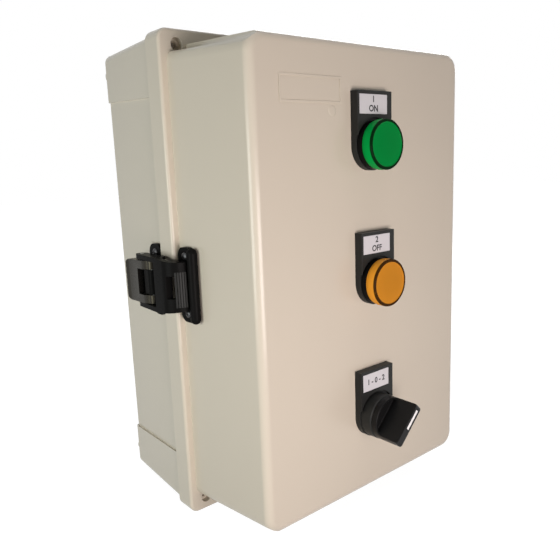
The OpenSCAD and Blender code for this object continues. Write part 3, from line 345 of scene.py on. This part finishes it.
def tinted_lens(name, node, colour):
    """Clear tinted cap with painted light: a side wall painted bright as if lit through, a
    near-black ring of painted shade at the rim, and a dished face painted darker towards its
    middle.
    """
    material, bench = finish(name)
    at = middle(node)
    x, y, z = bench.axes(bench.stretched((1, 1, 1), (-at.x, -LENS_LOW.y, -at.z)))
    radius = (x * x + z * z) ** 0.5
    on_face = 1 - y.ramp(0.9 * MM, 1.3 * MM)
    inside = 1 - radius.ramp(LENS_R - LENS_RIM_SHADE - 0.3 * MM, LENS_R - LENS_RIM_SHADE + 0.1 * MM)
    rim_shade = on_face * (1 - inside)
    haze = bench.noise(260, 3)
    # Painted shade: the face is darker towards its middle
    dish_shade = radius.ramp(0.3 * LENS_R, LENS_R)
    face = bench.blend(dish_shade, shade(colour, 0.66), shade(colour, 0.73))
    # Painted light: the side wall is brighter than the face, and darker towards its foot
    lit_wall = bench.blend(y.ramp(1.0 * MM, 6 * MM), shade(colour, 1.0), shade(colour, 0.93))
    tone = bench.blend(on_face, lit_wall, face)
    # Painted shade: a near-black ring round the rim of the face
    tone = bench.blend(rim_shade, tone, shade(colour, 0.05))
    tone = bench.blend(haze.ramp(0.55, 0.8) * 0.15, tone, shade(colour, 0.6))
    bench.surface(Base_Color=tone, Roughness=0.2 + 0.1 * haze, IOR=1.5, Specular_IOR_Level=0.03,
                  Normal=bench.bump(haze, 0.03, 0.2 * MM))
    return material


def printed_card(name, colour):
    """Satin insert card with a faint paper tooth."""
    material, bench = finish(name)
    tooth = bench.noise(1500, 3)
    drift = bench.noise(120, 2)
    tone = bench.blend(drift, shade(colour, 0.96), shade(colour, 1.02))
    bench.surface(Base_Color=tone, Roughness=0.38 + 0.15 * tooth, IOR=1.48,
                  Normal=bench.bump(tooth, 0.04, 0.1 * MM))
    return material


FINISHES = {}


def prepare_finishes(scene):
    """One finish for each material slot, and a few that only the scene has."""
    shell = scene.starter_shell
    latch = scene.starter_latch
    lights = scene.starter_lights
    cards = scene.starter_cards
    FINISHES.update({
        "housing": moulded_shell("shell_plastic", shell.colour, shell.gloss),
        "steel": plated_metal("zinc_plate", (0.5, 0.51, 0.52), 0.34, (1, 1, 14)),
        "galvanised": plated_metal("galvanised_sheet", (0.36, 0.37, 0.38), 0.5, (1, 1, 14)),
        "brass": plated_metal("terminal_brass", (0.72, 0.5, 0.2), 0.24),
        "dark_grey": moulded_plastic("dark_switchgear_plastic", (0.035, 0.037, 0.04), 0.5),
        "pale_grey": moulded_plastic("pale_switchgear_plastic", (0.58, 0.57, 0.53), 0.45),
        "blue": moulded_plastic("reset_blue", (0.02, 0.11, 0.4), 0.35),
        "red": moulded_plastic("stop_red", (0.5, 0.02, 0.02), 0.35),
        "contact_green": moulded_plastic("contact_block_green", (0.04, 0.15, 0.07), 0.45),
        "rubber": soft_rubber("seal_rubber", (0.012, 0.012, 0.012)),
        "black": moulded_plastic("latch_black", latch.colour, latch.gloss, index=1.07),
        # The lever is the latch's black with more shine and a warm tint on its reflections: a
        # painted brownish reflection
        "lever": moulded_plastic("lever_black", latch.colour, latch.gloss, shine=0.27,
                                 tint=(1, 0.88, 0.62, 1)),
        "holder": moulded_plastic("holder_black", (0.0165, 0.0168, 0.0158), 0.42, 0.3,
                                  shine=0.16),
        "knob": moulded_plastic("knob_black", (0.006, 0.006, 0.0061), 0.3, 0.3, shine=0.14),
        "black_screw": plated_metal("blackened_steel", (0.06, 0.06, 0.062), 0.28),
        "label_white": printed_card("card_white", cards.colour),
        "ink": moulded_plastic("card_ink", (0.012, 0.012, 0.014), 0.5, shine=0.2),
        "line_white": moulded_plastic("line_white", (0.82, 0.82, 0.81), 0.4),
        "green_lens": tinted_lens("green_cap", "green_lens", lights.green),
        "amber_lens": tinted_lens("amber_cap", "amber_lens", lights.amber),
    })


# Modelling steps


def only(piece):
    """Selects one piece alone and makes it active."""
    if bpy.context.object and bpy.context.object.mode != "OBJECT":
        bpy.ops.object.mode_set(mode="OBJECT")
    bpy.ops.object.select_all(action="DESELECT")
    piece.select_set(True)
    bpy.context.view_layer.objects.active = piece


def edit(piece):
    """Opens a piece in edit mode with everything selected."""
    only(piece)
    bpy.ops.object.mode_set(mode="EDIT")
    bpy.ops.mesh.select_all(action="SELECT")


def apply_modifier(piece, kind, **settings):
    only(piece)
    modifier = piece.modifiers.new(kind.lower(), kind)
    for name, value in settings.items():
        setattr(modifier, name, value)
    bpy.ops.object.modifier_apply(modifier=modifier.name)


def round_edges(piece, width, segments=2):
    """Rounds a piece's sharp edges and smooths what is left."""
    apply_modifier(piece, "BEVEL", width=width, segments=segments, limit_method="ANGLE",
                   angle_limit=SHARP, use_clamp_overlap=True)
    smooth(piece)


def smooth(piece, angle=SHARP):
    """Shades a piece smooth, apart from edges that turn more than an angle."""
    only(piece)
    bpy.ops.object.shade_smooth_by_angle(angle=angle)
    apply_modifier(piece, "WEIGHTED_NORMAL", keep_sharp=True, weight=60)


def settle(piece, body, finish_name):
    """Gives a finished piece its finish and its body."""
    piece.data.materials.clear()
    piece.data.materials.append(FINISHES[finish_name])
    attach(piece, body)


def dress(node, width, finish_name=None, segments=2, first=None):
    """A copy of a node with merged faces and rounded edges, which stands for the node."""
    only(frame["nodes"][node])
    bpy.ops.object.duplicate(linked=False)
    piece = bpy.context.object
    piece.name = node + "_finished"
    piece.parent = None
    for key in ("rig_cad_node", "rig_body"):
        del piece[key]
    merge_faces(piece)
    if first:
        first(piece)
    round_edges(piece, width * MM, segments)
    settle(piece, BODY_OF[node], finish_name or SLOT_OF[node])
    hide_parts(node)


def merge_faces(piece):
    """Joins triangles into the flat faces that they make up."""
    edit(piece)
    bpy.ops.mesh.remove_doubles(threshold=MERGE)
    bpy.ops.mesh.dissolve_limited(angle_limit=FLAT)
    bpy.ops.object.mode_set(mode="OBJECT")


def put_in_place(piece):
    """Moves a piece's place into its mesh."""
    only(piece)
    bpy.ops.object.transform_apply(location=True, rotation=True, scale=True)
    return piece


def new_name(piece, name):
    piece.name = name
    piece.data.name = name
    return piece


def block(size, at, turn=(0, 0, 0)):
    """A box of a given size, turned at its place."""
    bpy.ops.object.select_all(action="DESELECT")
    bpy.ops.mesh.primitive_cube_add(size=1, location=at, rotation=turn)
    piece = bpy.context.object
    piece.scale = size
    return put_in_place(piece)


def halve(piece, at, normal, **side):
    """Cuts a piece at a plane, drops one side and closes the cut."""
    edit(piece)
    bpy.ops.mesh.bisect(plane_co=at, plane_no=normal, use_fill=True, **side)
    bpy.ops.object.mode_set(mode="OBJECT")


def carve(piece, cutter):
    """Takes a cutter's shape out of a piece, and the cutter away."""
    apply_modifier(piece, "BOOLEAN", operation="DIFFERENCE", solver="EXACT", object=cutter)
    only(cutter)
    bpy.ops.object.delete()


def join(pieces, name):
    """Makes one named piece of several."""
    only(pieces[0])
    for piece in pieces[1:]:
        piece.select_set(True)
    bpy.ops.object.join()
    return new_name(bpy.context.object, name)


# Pieces


class STARTER_OT_base(bpy.types.Operator):
    """Moulded base of the enclosure"""

    bl_idname = "starter.base"
    bl_label = "Base"

    def execute(self, context):
        dress("base_tub", 0.5)
        return {"FINISHED"}


class STARTER_OT_cover(bpy.types.Operator):
    """Moulded cover with its seal, its bare rating field and its mould mark"""

    bl_idname = "starter.cover"
    bl_label = "Cover"

    def execute(self, context):
        dress("cover", 0.5, first=self.shape_nose)
        dress("gasket", 0.6)
        self.rating_field(context.scene.starter_shell)
        self.mould_mark(context.scene.starter_shell)
        return {"FINISHED"}

    def shape_nose(self, piece):
        for side in (-1, 1):
            for end in (-1, 1):
                self.corner_facet(piece, side, end)
        self.foot_fillet(piece)

    def corner_facet(self, piece, side, end):
        """Cuts one long corner of the nose to a flat facet that leans in with the draft."""
        foot = Vector((side * NOSE_FOOT.x, FLANGE_Y, end * (NOSE_FOOT.z - FACET_DROP)))
        along = Vector((-side * NOSE_IN.x, NOSE_IN.y, -end * NOSE_IN.z)).normalized()
        across = Vector((-side * math.cos(FACET_SLOPE), 0, end * math.sin(FACET_SLOPE)))
        out = along.cross(across).normalized()
        if out.x * side < 0:
            out.negate()
        turn = Matrix((along, out.cross(along), out)).transposed().to_euler()
        at = foot + along * FACET_MIDDLE + out * FACET_CUTTER.z / 2
        cutter = block(FACET_CUTTER, at, turn)
        halve(cutter, (0, FLANGE_Y, 0), (0, 1, 0), clear_outer=True)
        carve(piece, cutter)
        merge_faces(piece)

    def foot_fillet(self, piece):
        """Rounds the hollow corner where the nose rises from the flange."""
        mesh = piece.data
        inner_x = COVER_HIGH.x - RIM_MARGIN
        inner_z = COVER_HIGH.z - RIM_MARGIN
        on_flange = [
            abs(v.co.y - FLANGE_Y) < ON_PLANE and abs(v.co.x) < inner_x and abs(v.co.z) < inner_z
            for v in mesh.vertices
        ]
        edit(piece)
        bpy.ops.mesh.select_mode(type="EDGE")
        bpy.ops.mesh.select_all(action="DESELECT")
        bpy.ops.object.mode_set(mode="OBJECT")
        walls = set()
        for face in mesh.polygons:
            reach = FLANGE_Y - min(mesh.vertices[i].co.y for i in face.vertices)
            if face.normal.y > -0.5 and reach > NOSE_REACH:
                walls.update(face.edge_keys)
        for edge in mesh.edges:
            edge.select = all(on_flange[i] for i in edge.vertices) and edge.key in walls
        bpy.ops.object.mode_set(mode="EDIT")
        bpy.ops.mesh.bevel(offset=FOOT_FILLET, segments=5, affect="EDGES", clamp_overlap=True)
        bpy.ops.object.mode_set(mode="OBJECT")

    def rating_field(self, shell):
        """A thin raised border on the front, left bare inside."""
        bpy.ops.object.select_all(action="DESELECT")
        at = (shell.field_x * MM, FRONT_Y, shell.field_z * MM)
        bpy.ops.mesh.primitive_plane_add(size=1, location=at, rotation=(math.pi / 2, 0, 0))
        border = new_name(bpy.context.object, "rating_field")
        border.scale = (shell.field_w * MM, shell.field_h * MM, 1)
        put_in_place(border)
        edit(border)
        bpy.ops.mesh.inset(thickness=FIELD_LINE)
        bpy.ops.mesh.delete(type="FACE")
        bpy.ops.mesh.select_all(action="SELECT")
        bpy.ops.mesh.extrude_region_move(TRANSFORM_OT_translate={"value": (0, -FIELD_RISE, 0)})
        bpy.ops.mesh.select_all(action="SELECT")
        bpy.ops.mesh.normals_make_consistent(inside=False)
        bpy.ops.object.mode_set(mode="OBJECT")
        round_edges(border, FIELD_ROUND, 3)
        settle(border, "cover", "housing")

    def mould_mark(self, shell):
        """A small low dome beside the field, as a mould insert leaves."""
        bpy.ops.object.select_all(action="DESELECT")
        at = Vector((shell.mark_x * MM, FRONT_Y, shell.mark_z * MM))
        bpy.ops.mesh.primitive_uv_sphere_add(segments=40, ring_count=24, radius=MARK_R,
                                             location=at)
        dome = new_name(bpy.context.object, "mould_mark")
        dome.scale.y = MARK_FLAT
        put_in_place(dome)
        halve(dome, at, (0, 1, 0), clear_outer=True, threshold=0.001 * MM)
        smooth(dome)
        settle(dome, "cover", "housing")


class STARTER_OT_hinges(bpy.types.Operator):
    """Two side hinges with their pins and screws"""

    bl_idname = "starter.hinges"
    bl_label = "Hinges"

    def execute(self, context):
        for node in ("hinge_base_leaves", "hinge_cover_leaves"):
            dress(node, 0.5)
        for node in ("hinge_pins", "hinge_base_screws", "hinge_cover_screws"):
            dress(node, 0.2)
        return {"FINISHED"}


class STARTER_OT_latch(bpy.types.Operator):
    """Draw latch: bracket, lever, hook and keeper"""

    bl_idname = "starter.latch"
    bl_label = "Latch"

    def execute(self, context):
        for node in ("latch_bracket", "latch_hook", "latch_keeper"):
            dress(node, 0.6, segments=3)
        dress("latch_lever", 0.6, "lever", 3)
        for node in ("latch_pivot_pin", "latch_hook_pins"):
            dress(node, 0.3)
        self.grip_ribs(context.scene.starter_latch)
        self.cross_screws("bracket_screws", 0)
        self.cross_screws("keeper_screws", NOSE_TILT)
        return {"FINISHED"}

    def grip_ribs(self, latch):
        """Low upright ribs on the bend of the hook, painted a lighter black than the hook to stand
        in for the light they catch.
        """
        ribs = []
        size = (latch.rib_rise * 2 * MM, RIB_W, latch.rib_h * MM)
        for step in range(latch.ribs):
            turn = math.radians(RIB_FIRST + RIB_STEP * step)
            out = Vector((math.cos(turn), math.sin(turn), 0))
            at = HOOK_BEND + out * HOOK_R - Vector((0, 0, RIB_DROP))
            ribs.append(block(size, at, (0, 0, turn)))
        piece = join(ribs, "hook_grip_ribs")
        round_edges(piece, RIB_ROUND, 3)
        # The ribs take the holders' lighter black instead of the hook's own: a painted highlight
        settle(piece, "latch_hook", "holder")

    def cross_screws(self, node, tilt):
        """Domed screws with a cross recess in place of a node's pair of plain ones."""
        low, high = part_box(node)
        out = Vector((-math.cos(tilt), -math.sin(tilt), 0))
        face_x = low.x + HEAD_R * math.sin(tilt)
        at_y = (low.y + HEAD_R * math.cos(tilt)) if tilt else (low.y + high.y) / 2
        pair = []
        for z in (low.z + HEAD_R, high.z - HEAD_R):
            head = self.cross_head()
            head.rotation_euler = out.to_track_quat("Z", "Y").to_euler()
            head.location = Vector((face_x, at_y, z)) - out * HEAD_H
            pair.append(put_in_place(head))
        piece = join(pair, node + "_finished")
        smooth(piece, HEAD_SHARP)
        settle(piece, BODY_OF[node], SLOT_OF[node])
        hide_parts(node)

    def cross_head(self):
        """One screw with its seat at the origin, its head upwards."""
        bpy.ops.object.select_all(action="DESELECT")
        bpy.ops.mesh.primitive_uv_sphere_add(segments=32, ring_count=20, radius=HEAD_R)
        head = bpy.context.object
        head.scale.z = HEAD_H / HEAD_R
        put_in_place(head)
        halve(head, (0, 0, 0), (0, 0, 1), clear_inner=True)
        for face in head.data.polygons:
            face.select = face.normal.z < -0.9
        bpy.ops.object.mode_set(mode="EDIT")
        bpy.ops.mesh.inset(thickness=HEAD_R - SHANK_R)
        bpy.ops.mesh.extrude_region_move(TRANSFORM_OT_translate={"value": (0, 0, -SHANK_L)})
        bpy.ops.object.mode_set(mode="OBJECT")
        for turn in (0, math.pi / 2):
            carve(head, block(RECESS, (0, 0, HEAD_H), (0, 0, turn)))
        return head


class STARTER_OT_lights(bpy.types.Operator):
    """Green and amber pilot lights with their label holders"""

    bl_idname = "starter.lights"
    bl_label = "Pilot lights"

    def execute(self, context):
        for colour in ("green", "amber"):
            dress(colour + "_holder", 0.45, "holder", 3)
            dress(colour + "_lens", 0.25, segments=3)
            dress(colour + "_lamp", 0.3)
        dress("lamp_screws", 0.15)
        return {"FINISHED"}


class STARTER_OT_labels(bpy.types.Operator):
    """Insert cards and their lettering"""

    bl_idname = "starter.labels"
    bl_label = "Labels"

    def execute(self, context):
        cards = context.scene.starter_cards
        for node, words in (
            ("green_label", cards.green_words),
            ("amber_label", cards.amber_words),
            ("selector_label", cards.selector_words),
        ):
            dress(node, 0.12)
            self.lettering(node, words, cards.letter_h * MM)
        return {"FINISHED"}

    def lettering(self, node, words, height):
        """Dark letters printed just proud of a card, line by line."""
        low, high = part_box(node)
        at = Vector(((low.x + high.x) / 2, low.y - 0.01 * MM, (low.z + high.z) / 2))
        bpy.ops.object.select_all(action="DESELECT")
        bpy.ops.object.text_add(location=at, rotation=(math.pi / 2, 0, 0))
        text = bpy.context.object
        text.data.body = "\n".join(words.split("/"))
        text.data.align_x = "CENTER"
        text.data.align_y = "CENTER"
        text.data.size = height / CAPITAL
        text.data.space_line = LINE_SPACE
        text.data.offset = STROKE_SWELL
        text.data.extrude = INK_RISE
        text.data.resolution_u = 6
        bpy.ops.object.convert(target="MESH")
        text = put_in_place(new_name(bpy.context.object, node + "_letters"))
        edit(text)
        bpy.ops.mesh.remove_doubles(threshold=0.001 * MM)
        bpy.ops.object.mode_set(mode="OBJECT")
        settle(text, BODY_OF[node], "ink")


class STARTER_OT_selector(bpy.types.Operator):
    """Selector switch: holder, bezel, knob with its line, and the contacts behind"""

    bl_idname = "starter.selector"
    bl_label = "Selector"

    def execute(self, context):
        dress("selector_holder", 0.45, "holder", 3)
        dress("selector_bezel", 0.3, "holder", 3)
        dress("selector_knob", 0.5, "knob", 3)
        dress("selector_line", 0.1, "line_white")
        dress("selector_carrier", 0.6)
        dress("contact_blocks", 0.5)
        dress("contact_screws", 0.15)
        return {"FINISHED"}


class STARTER_OT_fixings(bpy.types.Operator):
    """Washers and lock nuts behind the front devices"""

    bl_idname = "starter.fixings"
    bl_label = "Fixings"

    def execute(self, context):
        dress("seal_washers", 0.2)
        dress("lock_nuts", 0.5)
        return {"FINISHED"}


class STARTER_OT_gear(bpy.types.Operator):
    """Switchgear inside: plate, rails, contactor, overload relay and terminals"""

    bl_idname = "starter.gear"
    bl_label = "Switchgear"

    def execute(self, context):
        for node, width in (
            ("plate_screws", 0.25), ("rail_screws", 0.25), ("contactor_base", 0.6),
            ("contactor_front", 0.6), ("contactor_screws", 0.25), ("contactor_carrier", 0.4),
            ("overload_relay", 0.6), ("relay_prongs", 0.3), ("relay_screws", 0.25),
            ("relay_dial", 0.3), ("reset_button", 0.6), ("stop_button", 0.6),
            ("terminal_blocks", 0.35), ("terminal_screws", 0.2), ("end_stops", 0.5),
        ):
            dress(node, width)
        dress("mounting_plate", 0.3, "galvanised")
        for node in ("starter_rail", "terminal_rail"):
            dress(node, 0.2, "galvanised")
        return {"FINISHED"}


class STARTER_OT_stage(bpy.types.Operator):
    """Floor, lights, background and camera"""

    bl_idname = "starter.stage"
    bl_label = "Stage"

    def execute(self, context):
        stage = context.scene.starter_stage
        self.floor(stage)
        self.sky(context.scene, stage)
        for name, power, *placing in LAMPS:
            self.lamp(name, getattr(stage, power), *placing)
        self.camera(context.scene, stage)
        context.scene.view_settings.view_transform = "Standard"
        return {"FINISHED"}

    def seen_directly(self, bench):
        path = bench.add("ShaderNodeLightPath").socket.node.outputs
        direct = Wire(bench, path["Is Camera Ray"]).most(Wire(bench, path["Is Glossy Ray"]))
        return direct.most(Wire(bench, path["Is Transmission Ray"]))

    def floor(self, stage):
        bpy.ops.object.select_all(action="DESELECT")
        at = (0, 0, CAD_BOX[0].z - FLOOR_BELOW)
        bpy.ops.mesh.primitive_plane_add(size=FLOOR_SIZE, location=at)
        floor = put_in_place(new_name(bpy.context.object, "floor"))
        material, bench = finish("floor_white")
        white = (*stage.floor_colour, 1.0)
        speck = bench.noise(6, 2)
        tone = bench.blend(speck, shade(white, 0.98), white)
        plain = bench.add("ShaderNodeBsdfDiffuse", None, {"Color": tone})
        x, y, z = bench.axes(bench.place())
        far = ((x * x + y * y) ** 0.5).ramp(FLOOR_NEAR, FLOOR_FAR)
        near = (*[stage.floor_glow] * 3, 1.0)
        bright = bench.blend(far, near, (1, 1, 1, 1))
        glow = bench.add("ShaderNodeEmission", None, {"Color": bright})
        dimmed = bench.add("ShaderNodeBsdfDiffuse", None,
                           {"Color": shade(white, FLOOR_CATCH * (1 - stage.floor_glow))})
        seen = bench.add("ShaderNodeAddShader", None, {0: glow, 1: dimmed})
        sockets = {0: self.seen_directly(bench), 1: plain, 2: seen}
        mixed = bench.add("ShaderNodeMixShader", None, sockets)
        bench.add("ShaderNodeOutputMaterial", None, {"Surface": mixed})
        floor.data.materials.append(material)

    def sky(self, scene, stage):
        world = bpy.data.worlds.new("studio")
        world.use_nodes = True
        scene.world = world
        bench = Bench(world.node_tree)
        soft = bench.add("ShaderNodeBackground", None,
                         {"Color": (1, 1, 1, 1), "Strength": stage.sky_strength})
        white = bench.add("ShaderNodeBackground", None, {"Color": (1, 1, 1, 1), "Strength": 1.0})
        sockets = {0: self.seen_directly(bench), 1: soft, 2: white}
        mixed = bench.add("ShaderNodeMixShader", None, sockets)
        bench.add("ShaderNodeOutputWorld", None, {0: mixed})

    def lamp(self, name, power, size, at, aim, colour):
        bpy.ops.object.light_add(type="AREA", location=at)
        lamp = bpy.context.object
        lamp.name = name
        lamp.data.energy = power
        lamp.data.shape = "RECTANGLE"
        lamp.data.size, lamp.data.size_y = size
        lamp.data.color = colour
        lamp.visible_camera = False
        lamp.rotation_euler = (Vector(aim) - Vector(at)).to_track_quat("-Z", "Y").to_euler()

    def camera(self, scene, stage):
        bpy.ops.object.camera_add(location=Vector(stage.camera_at) * MM)
        camera = bpy.context.object
        camera.name = "view_camera"
        back = CAMERA_RIGHT.cross(CAMERA_UP)
        turn = Matrix((CAMERA_RIGHT, CAMERA_UP, back)).transposed()
        camera.rotation_euler = turn.to_euler()
        camera.data.lens = stage.camera_lens
        camera.data.sensor_width = 36
        camera.data.clip_start = 0.02
        scene.camera = camera


# Settings


class ShellSettings(bpy.types.PropertyGroup):
    colour: bpy.props.FloatVectorProperty(
        name="Shell colour", description="Base colour of the housing", subtype="COLOR", size=3,
        min=0, max=1, default=linear((0.80, 0.765, 0.70)))
    gloss: bpy.props.FloatProperty(
        name="Shell roughness", description="Roughness of the housing", default=0.21,
        min=0.05, max=1)
    field_x: bpy.props.FloatProperty(
        name="Field across", description="Middle of the bare field, right of the centre, in mm",
        default=-47.5)
    field_z: bpy.props.FloatProperty(
        name="Field height", description="Middle of the bare field above the centre, in mm",
        default=114.5)
    field_w: bpy.props.FloatProperty(
        name="Field width", description="Width of the bare field, in mm", default=47,
        min=10, max=80)
    field_h: bpy.props.FloatProperty(
        name="Field depth", description="Height of the bare field, in mm", default=15,
        min=5, max=40)
    mark_x: bpy.props.FloatProperty(
        name="Mark across", description="Mould mark, right of the centre, in mm", default=-31.5)
    mark_z: bpy.props.FloatProperty(
        name="Mark height", description="Mould mark above the centre, in mm", default=103)


class LatchSettings(bpy.types.PropertyGroup):
    colour: bpy.props.FloatVectorProperty(
        name="Latch colour", description="Base colour of the latch and hinges", subtype="COLOR",
        size=3, min=0, max=1, default=(0.0068, 0.0066, 0.0064))
    gloss: bpy.props.FloatProperty(
        name="Latch roughness", description="Roughness of the latch", default=0.24,
        min=0.05, max=1)
    ribs: bpy.props.IntProperty(
        name="Grip ribs", description="Number of ribs on the bend of the hook", default=5,
        min=1, max=5)
    rib_h: bpy.props.FloatProperty(
        name="Rib height", description="Height of a rib, in mm", default=22, min=5, max=30)
    rib_rise: bpy.props.FloatProperty(
        name="Rib rise", description="How far a rib stands out, in mm", default=0.35,
        min=0.1, max=1)


class LightSettings(bpy.types.PropertyGroup):
    green: bpy.props.FloatVectorProperty(
        name="Green cap", description="Colour of the green lens", subtype="COLOR", size=3,
        min=0, max=1, default=linear((0.0, 0.6, 0.26)))
    amber: bpy.props.FloatVectorProperty(
        name="Amber cap", description="Colour of the amber lens", subtype="COLOR", size=3,
        min=0, max=1, default=linear((0.9, 0.6, 0.18)))


class CardSettings(bpy.types.PropertyGroup):
    colour: bpy.props.FloatVectorProperty(
        name="Card colour", description="Colour of the insert cards", subtype="COLOR", size=3,
        min=0, max=1, default=linear((0.815, 0.81, 0.82)))
    green_words: bpy.props.StringProperty(
        name="Upper card", description="Lines on the upper card, split by a stroke",
        default="1/ON")
    amber_words: bpy.props.StringProperty(
        name="Middle card", description="Lines on the middle card, split by a stroke",
        default="2/OFF")
    selector_words: bpy.props.StringProperty(
        name="Lower card", description="Line on the lower card", default="1 - 0 - 2")
    letter_h: bpy.props.FloatProperty(
        name="Letter height", description="Height of a capital letter, in mm", default=3.5,
        min=1, max=6)


class StageSettings(bpy.types.PropertyGroup):
    floor_colour: bpy.props.FloatVectorProperty(
        name="Floor", description="Colour of the floor", subtype="COLOR", size=3, min=0, max=1,
        default=(0.3, 0.3, 0.3))
    floor_glow: bpy.props.FloatProperty(
        name="Floor glow", description="Share of the floor's white that needs no lamp",
        default=0.95, min=0, max=1, subtype="FACTOR")
    sky_strength: bpy.props.FloatProperty(
        name="Sky", description="Strength of the light from all round", default=0.03,
        min=0, max=3)
    key_power: bpy.props.FloatProperty(
        name="Key", description="Front light", default=2.15, min=0, max=200, unit="POWER")
    fill_power: bpy.props.FloatProperty(
        name="Fill", description="Left light", default=1.39, min=0, max=200, unit="POWER")
    top_power: bpy.props.FloatProperty(
        name="Top", description="Light from above", default=6.0, min=0, max=200, unit="POWER")
    rim_power: bpy.props.FloatProperty(
        name="Rim", description="Light from behind", default=14.0, min=0, max=200, unit="POWER")
    camera_at: bpy.props.FloatVectorProperty(
        name="Camera", description="Place of the camera, in mm", size=3,
        default=(-288.06, -419.94, 76.61))
    camera_lens: bpy.props.FloatProperty(
        name="Lens", description="Focal length, in mm on a 36 mm sensor", default=39.465,
        min=10, max=200)


PIECES = (
    STARTER_OT_stage, STARTER_OT_base, STARTER_OT_cover, STARTER_OT_hinges, STARTER_OT_latch,
    STARTER_OT_lights, STARTER_OT_labels, STARTER_OT_selector, STARTER_OT_fixings, STARTER_OT_gear,
)


class STARTER_PT_panel(bpy.types.Panel):
    """Lists the pieces and their settings"""

    bl_idname = "STARTER_PT_panel"
    bl_label = "Enclosed starter"
    bl_space_type = "VIEW_3D"
    bl_region_type = "UI"
    bl_category = "Starter"

    def draw(self, context):
        scene = context.scene
        for name in SETTINGS:
            box = self.layout.box()
            group = getattr(scene, name)
            for prop in group.bl_rna.properties.keys():
                if prop not in ("rna_type", "name"):
                    box.prop(group, prop)
        for piece in PIECES:
            self.layout.operator(piece.bl_idname)


SETTINGS = {
    "starter_shell": ShellSettings,
    "starter_latch": LatchSettings,
    "starter_lights": LightSettings,
    "starter_cards": CardSettings,
    "starter_stage": StageSettings,
}


def register():
    for name, group in SETTINGS.items():
        bpy.utils.register_class(group)
        setattr(bpy.types.Scene, name, bpy.props.PointerProperty(type=group))
    for piece in (*PIECES, STARTER_PT_panel):
        bpy.utils.register_class(piece)


def unregister():
    for piece in (STARTER_PT_panel, *reversed(PIECES)):
        bpy.utils.unregister_class(piece)
    for name, group in SETTINGS.items():
        delattr(bpy.types.Scene, name)
        bpy.utils.unregister_class(group)


def main():
    register()
    prepare_finishes(bpy.context.scene)
    bpy.ops.starter.stage()
    bpy.ops.starter.base()
    bpy.ops.starter.cover()
    bpy.ops.starter.hinges()
    bpy.ops.starter.latch()
    bpy.ops.starter.lights()
    bpy.ops.starter.labels()
    bpy.ops.starter.selector()
    bpy.ops.starter.fixings()
    bpy.ops.starter.gear()


if __name__ == "__main__":
    main()
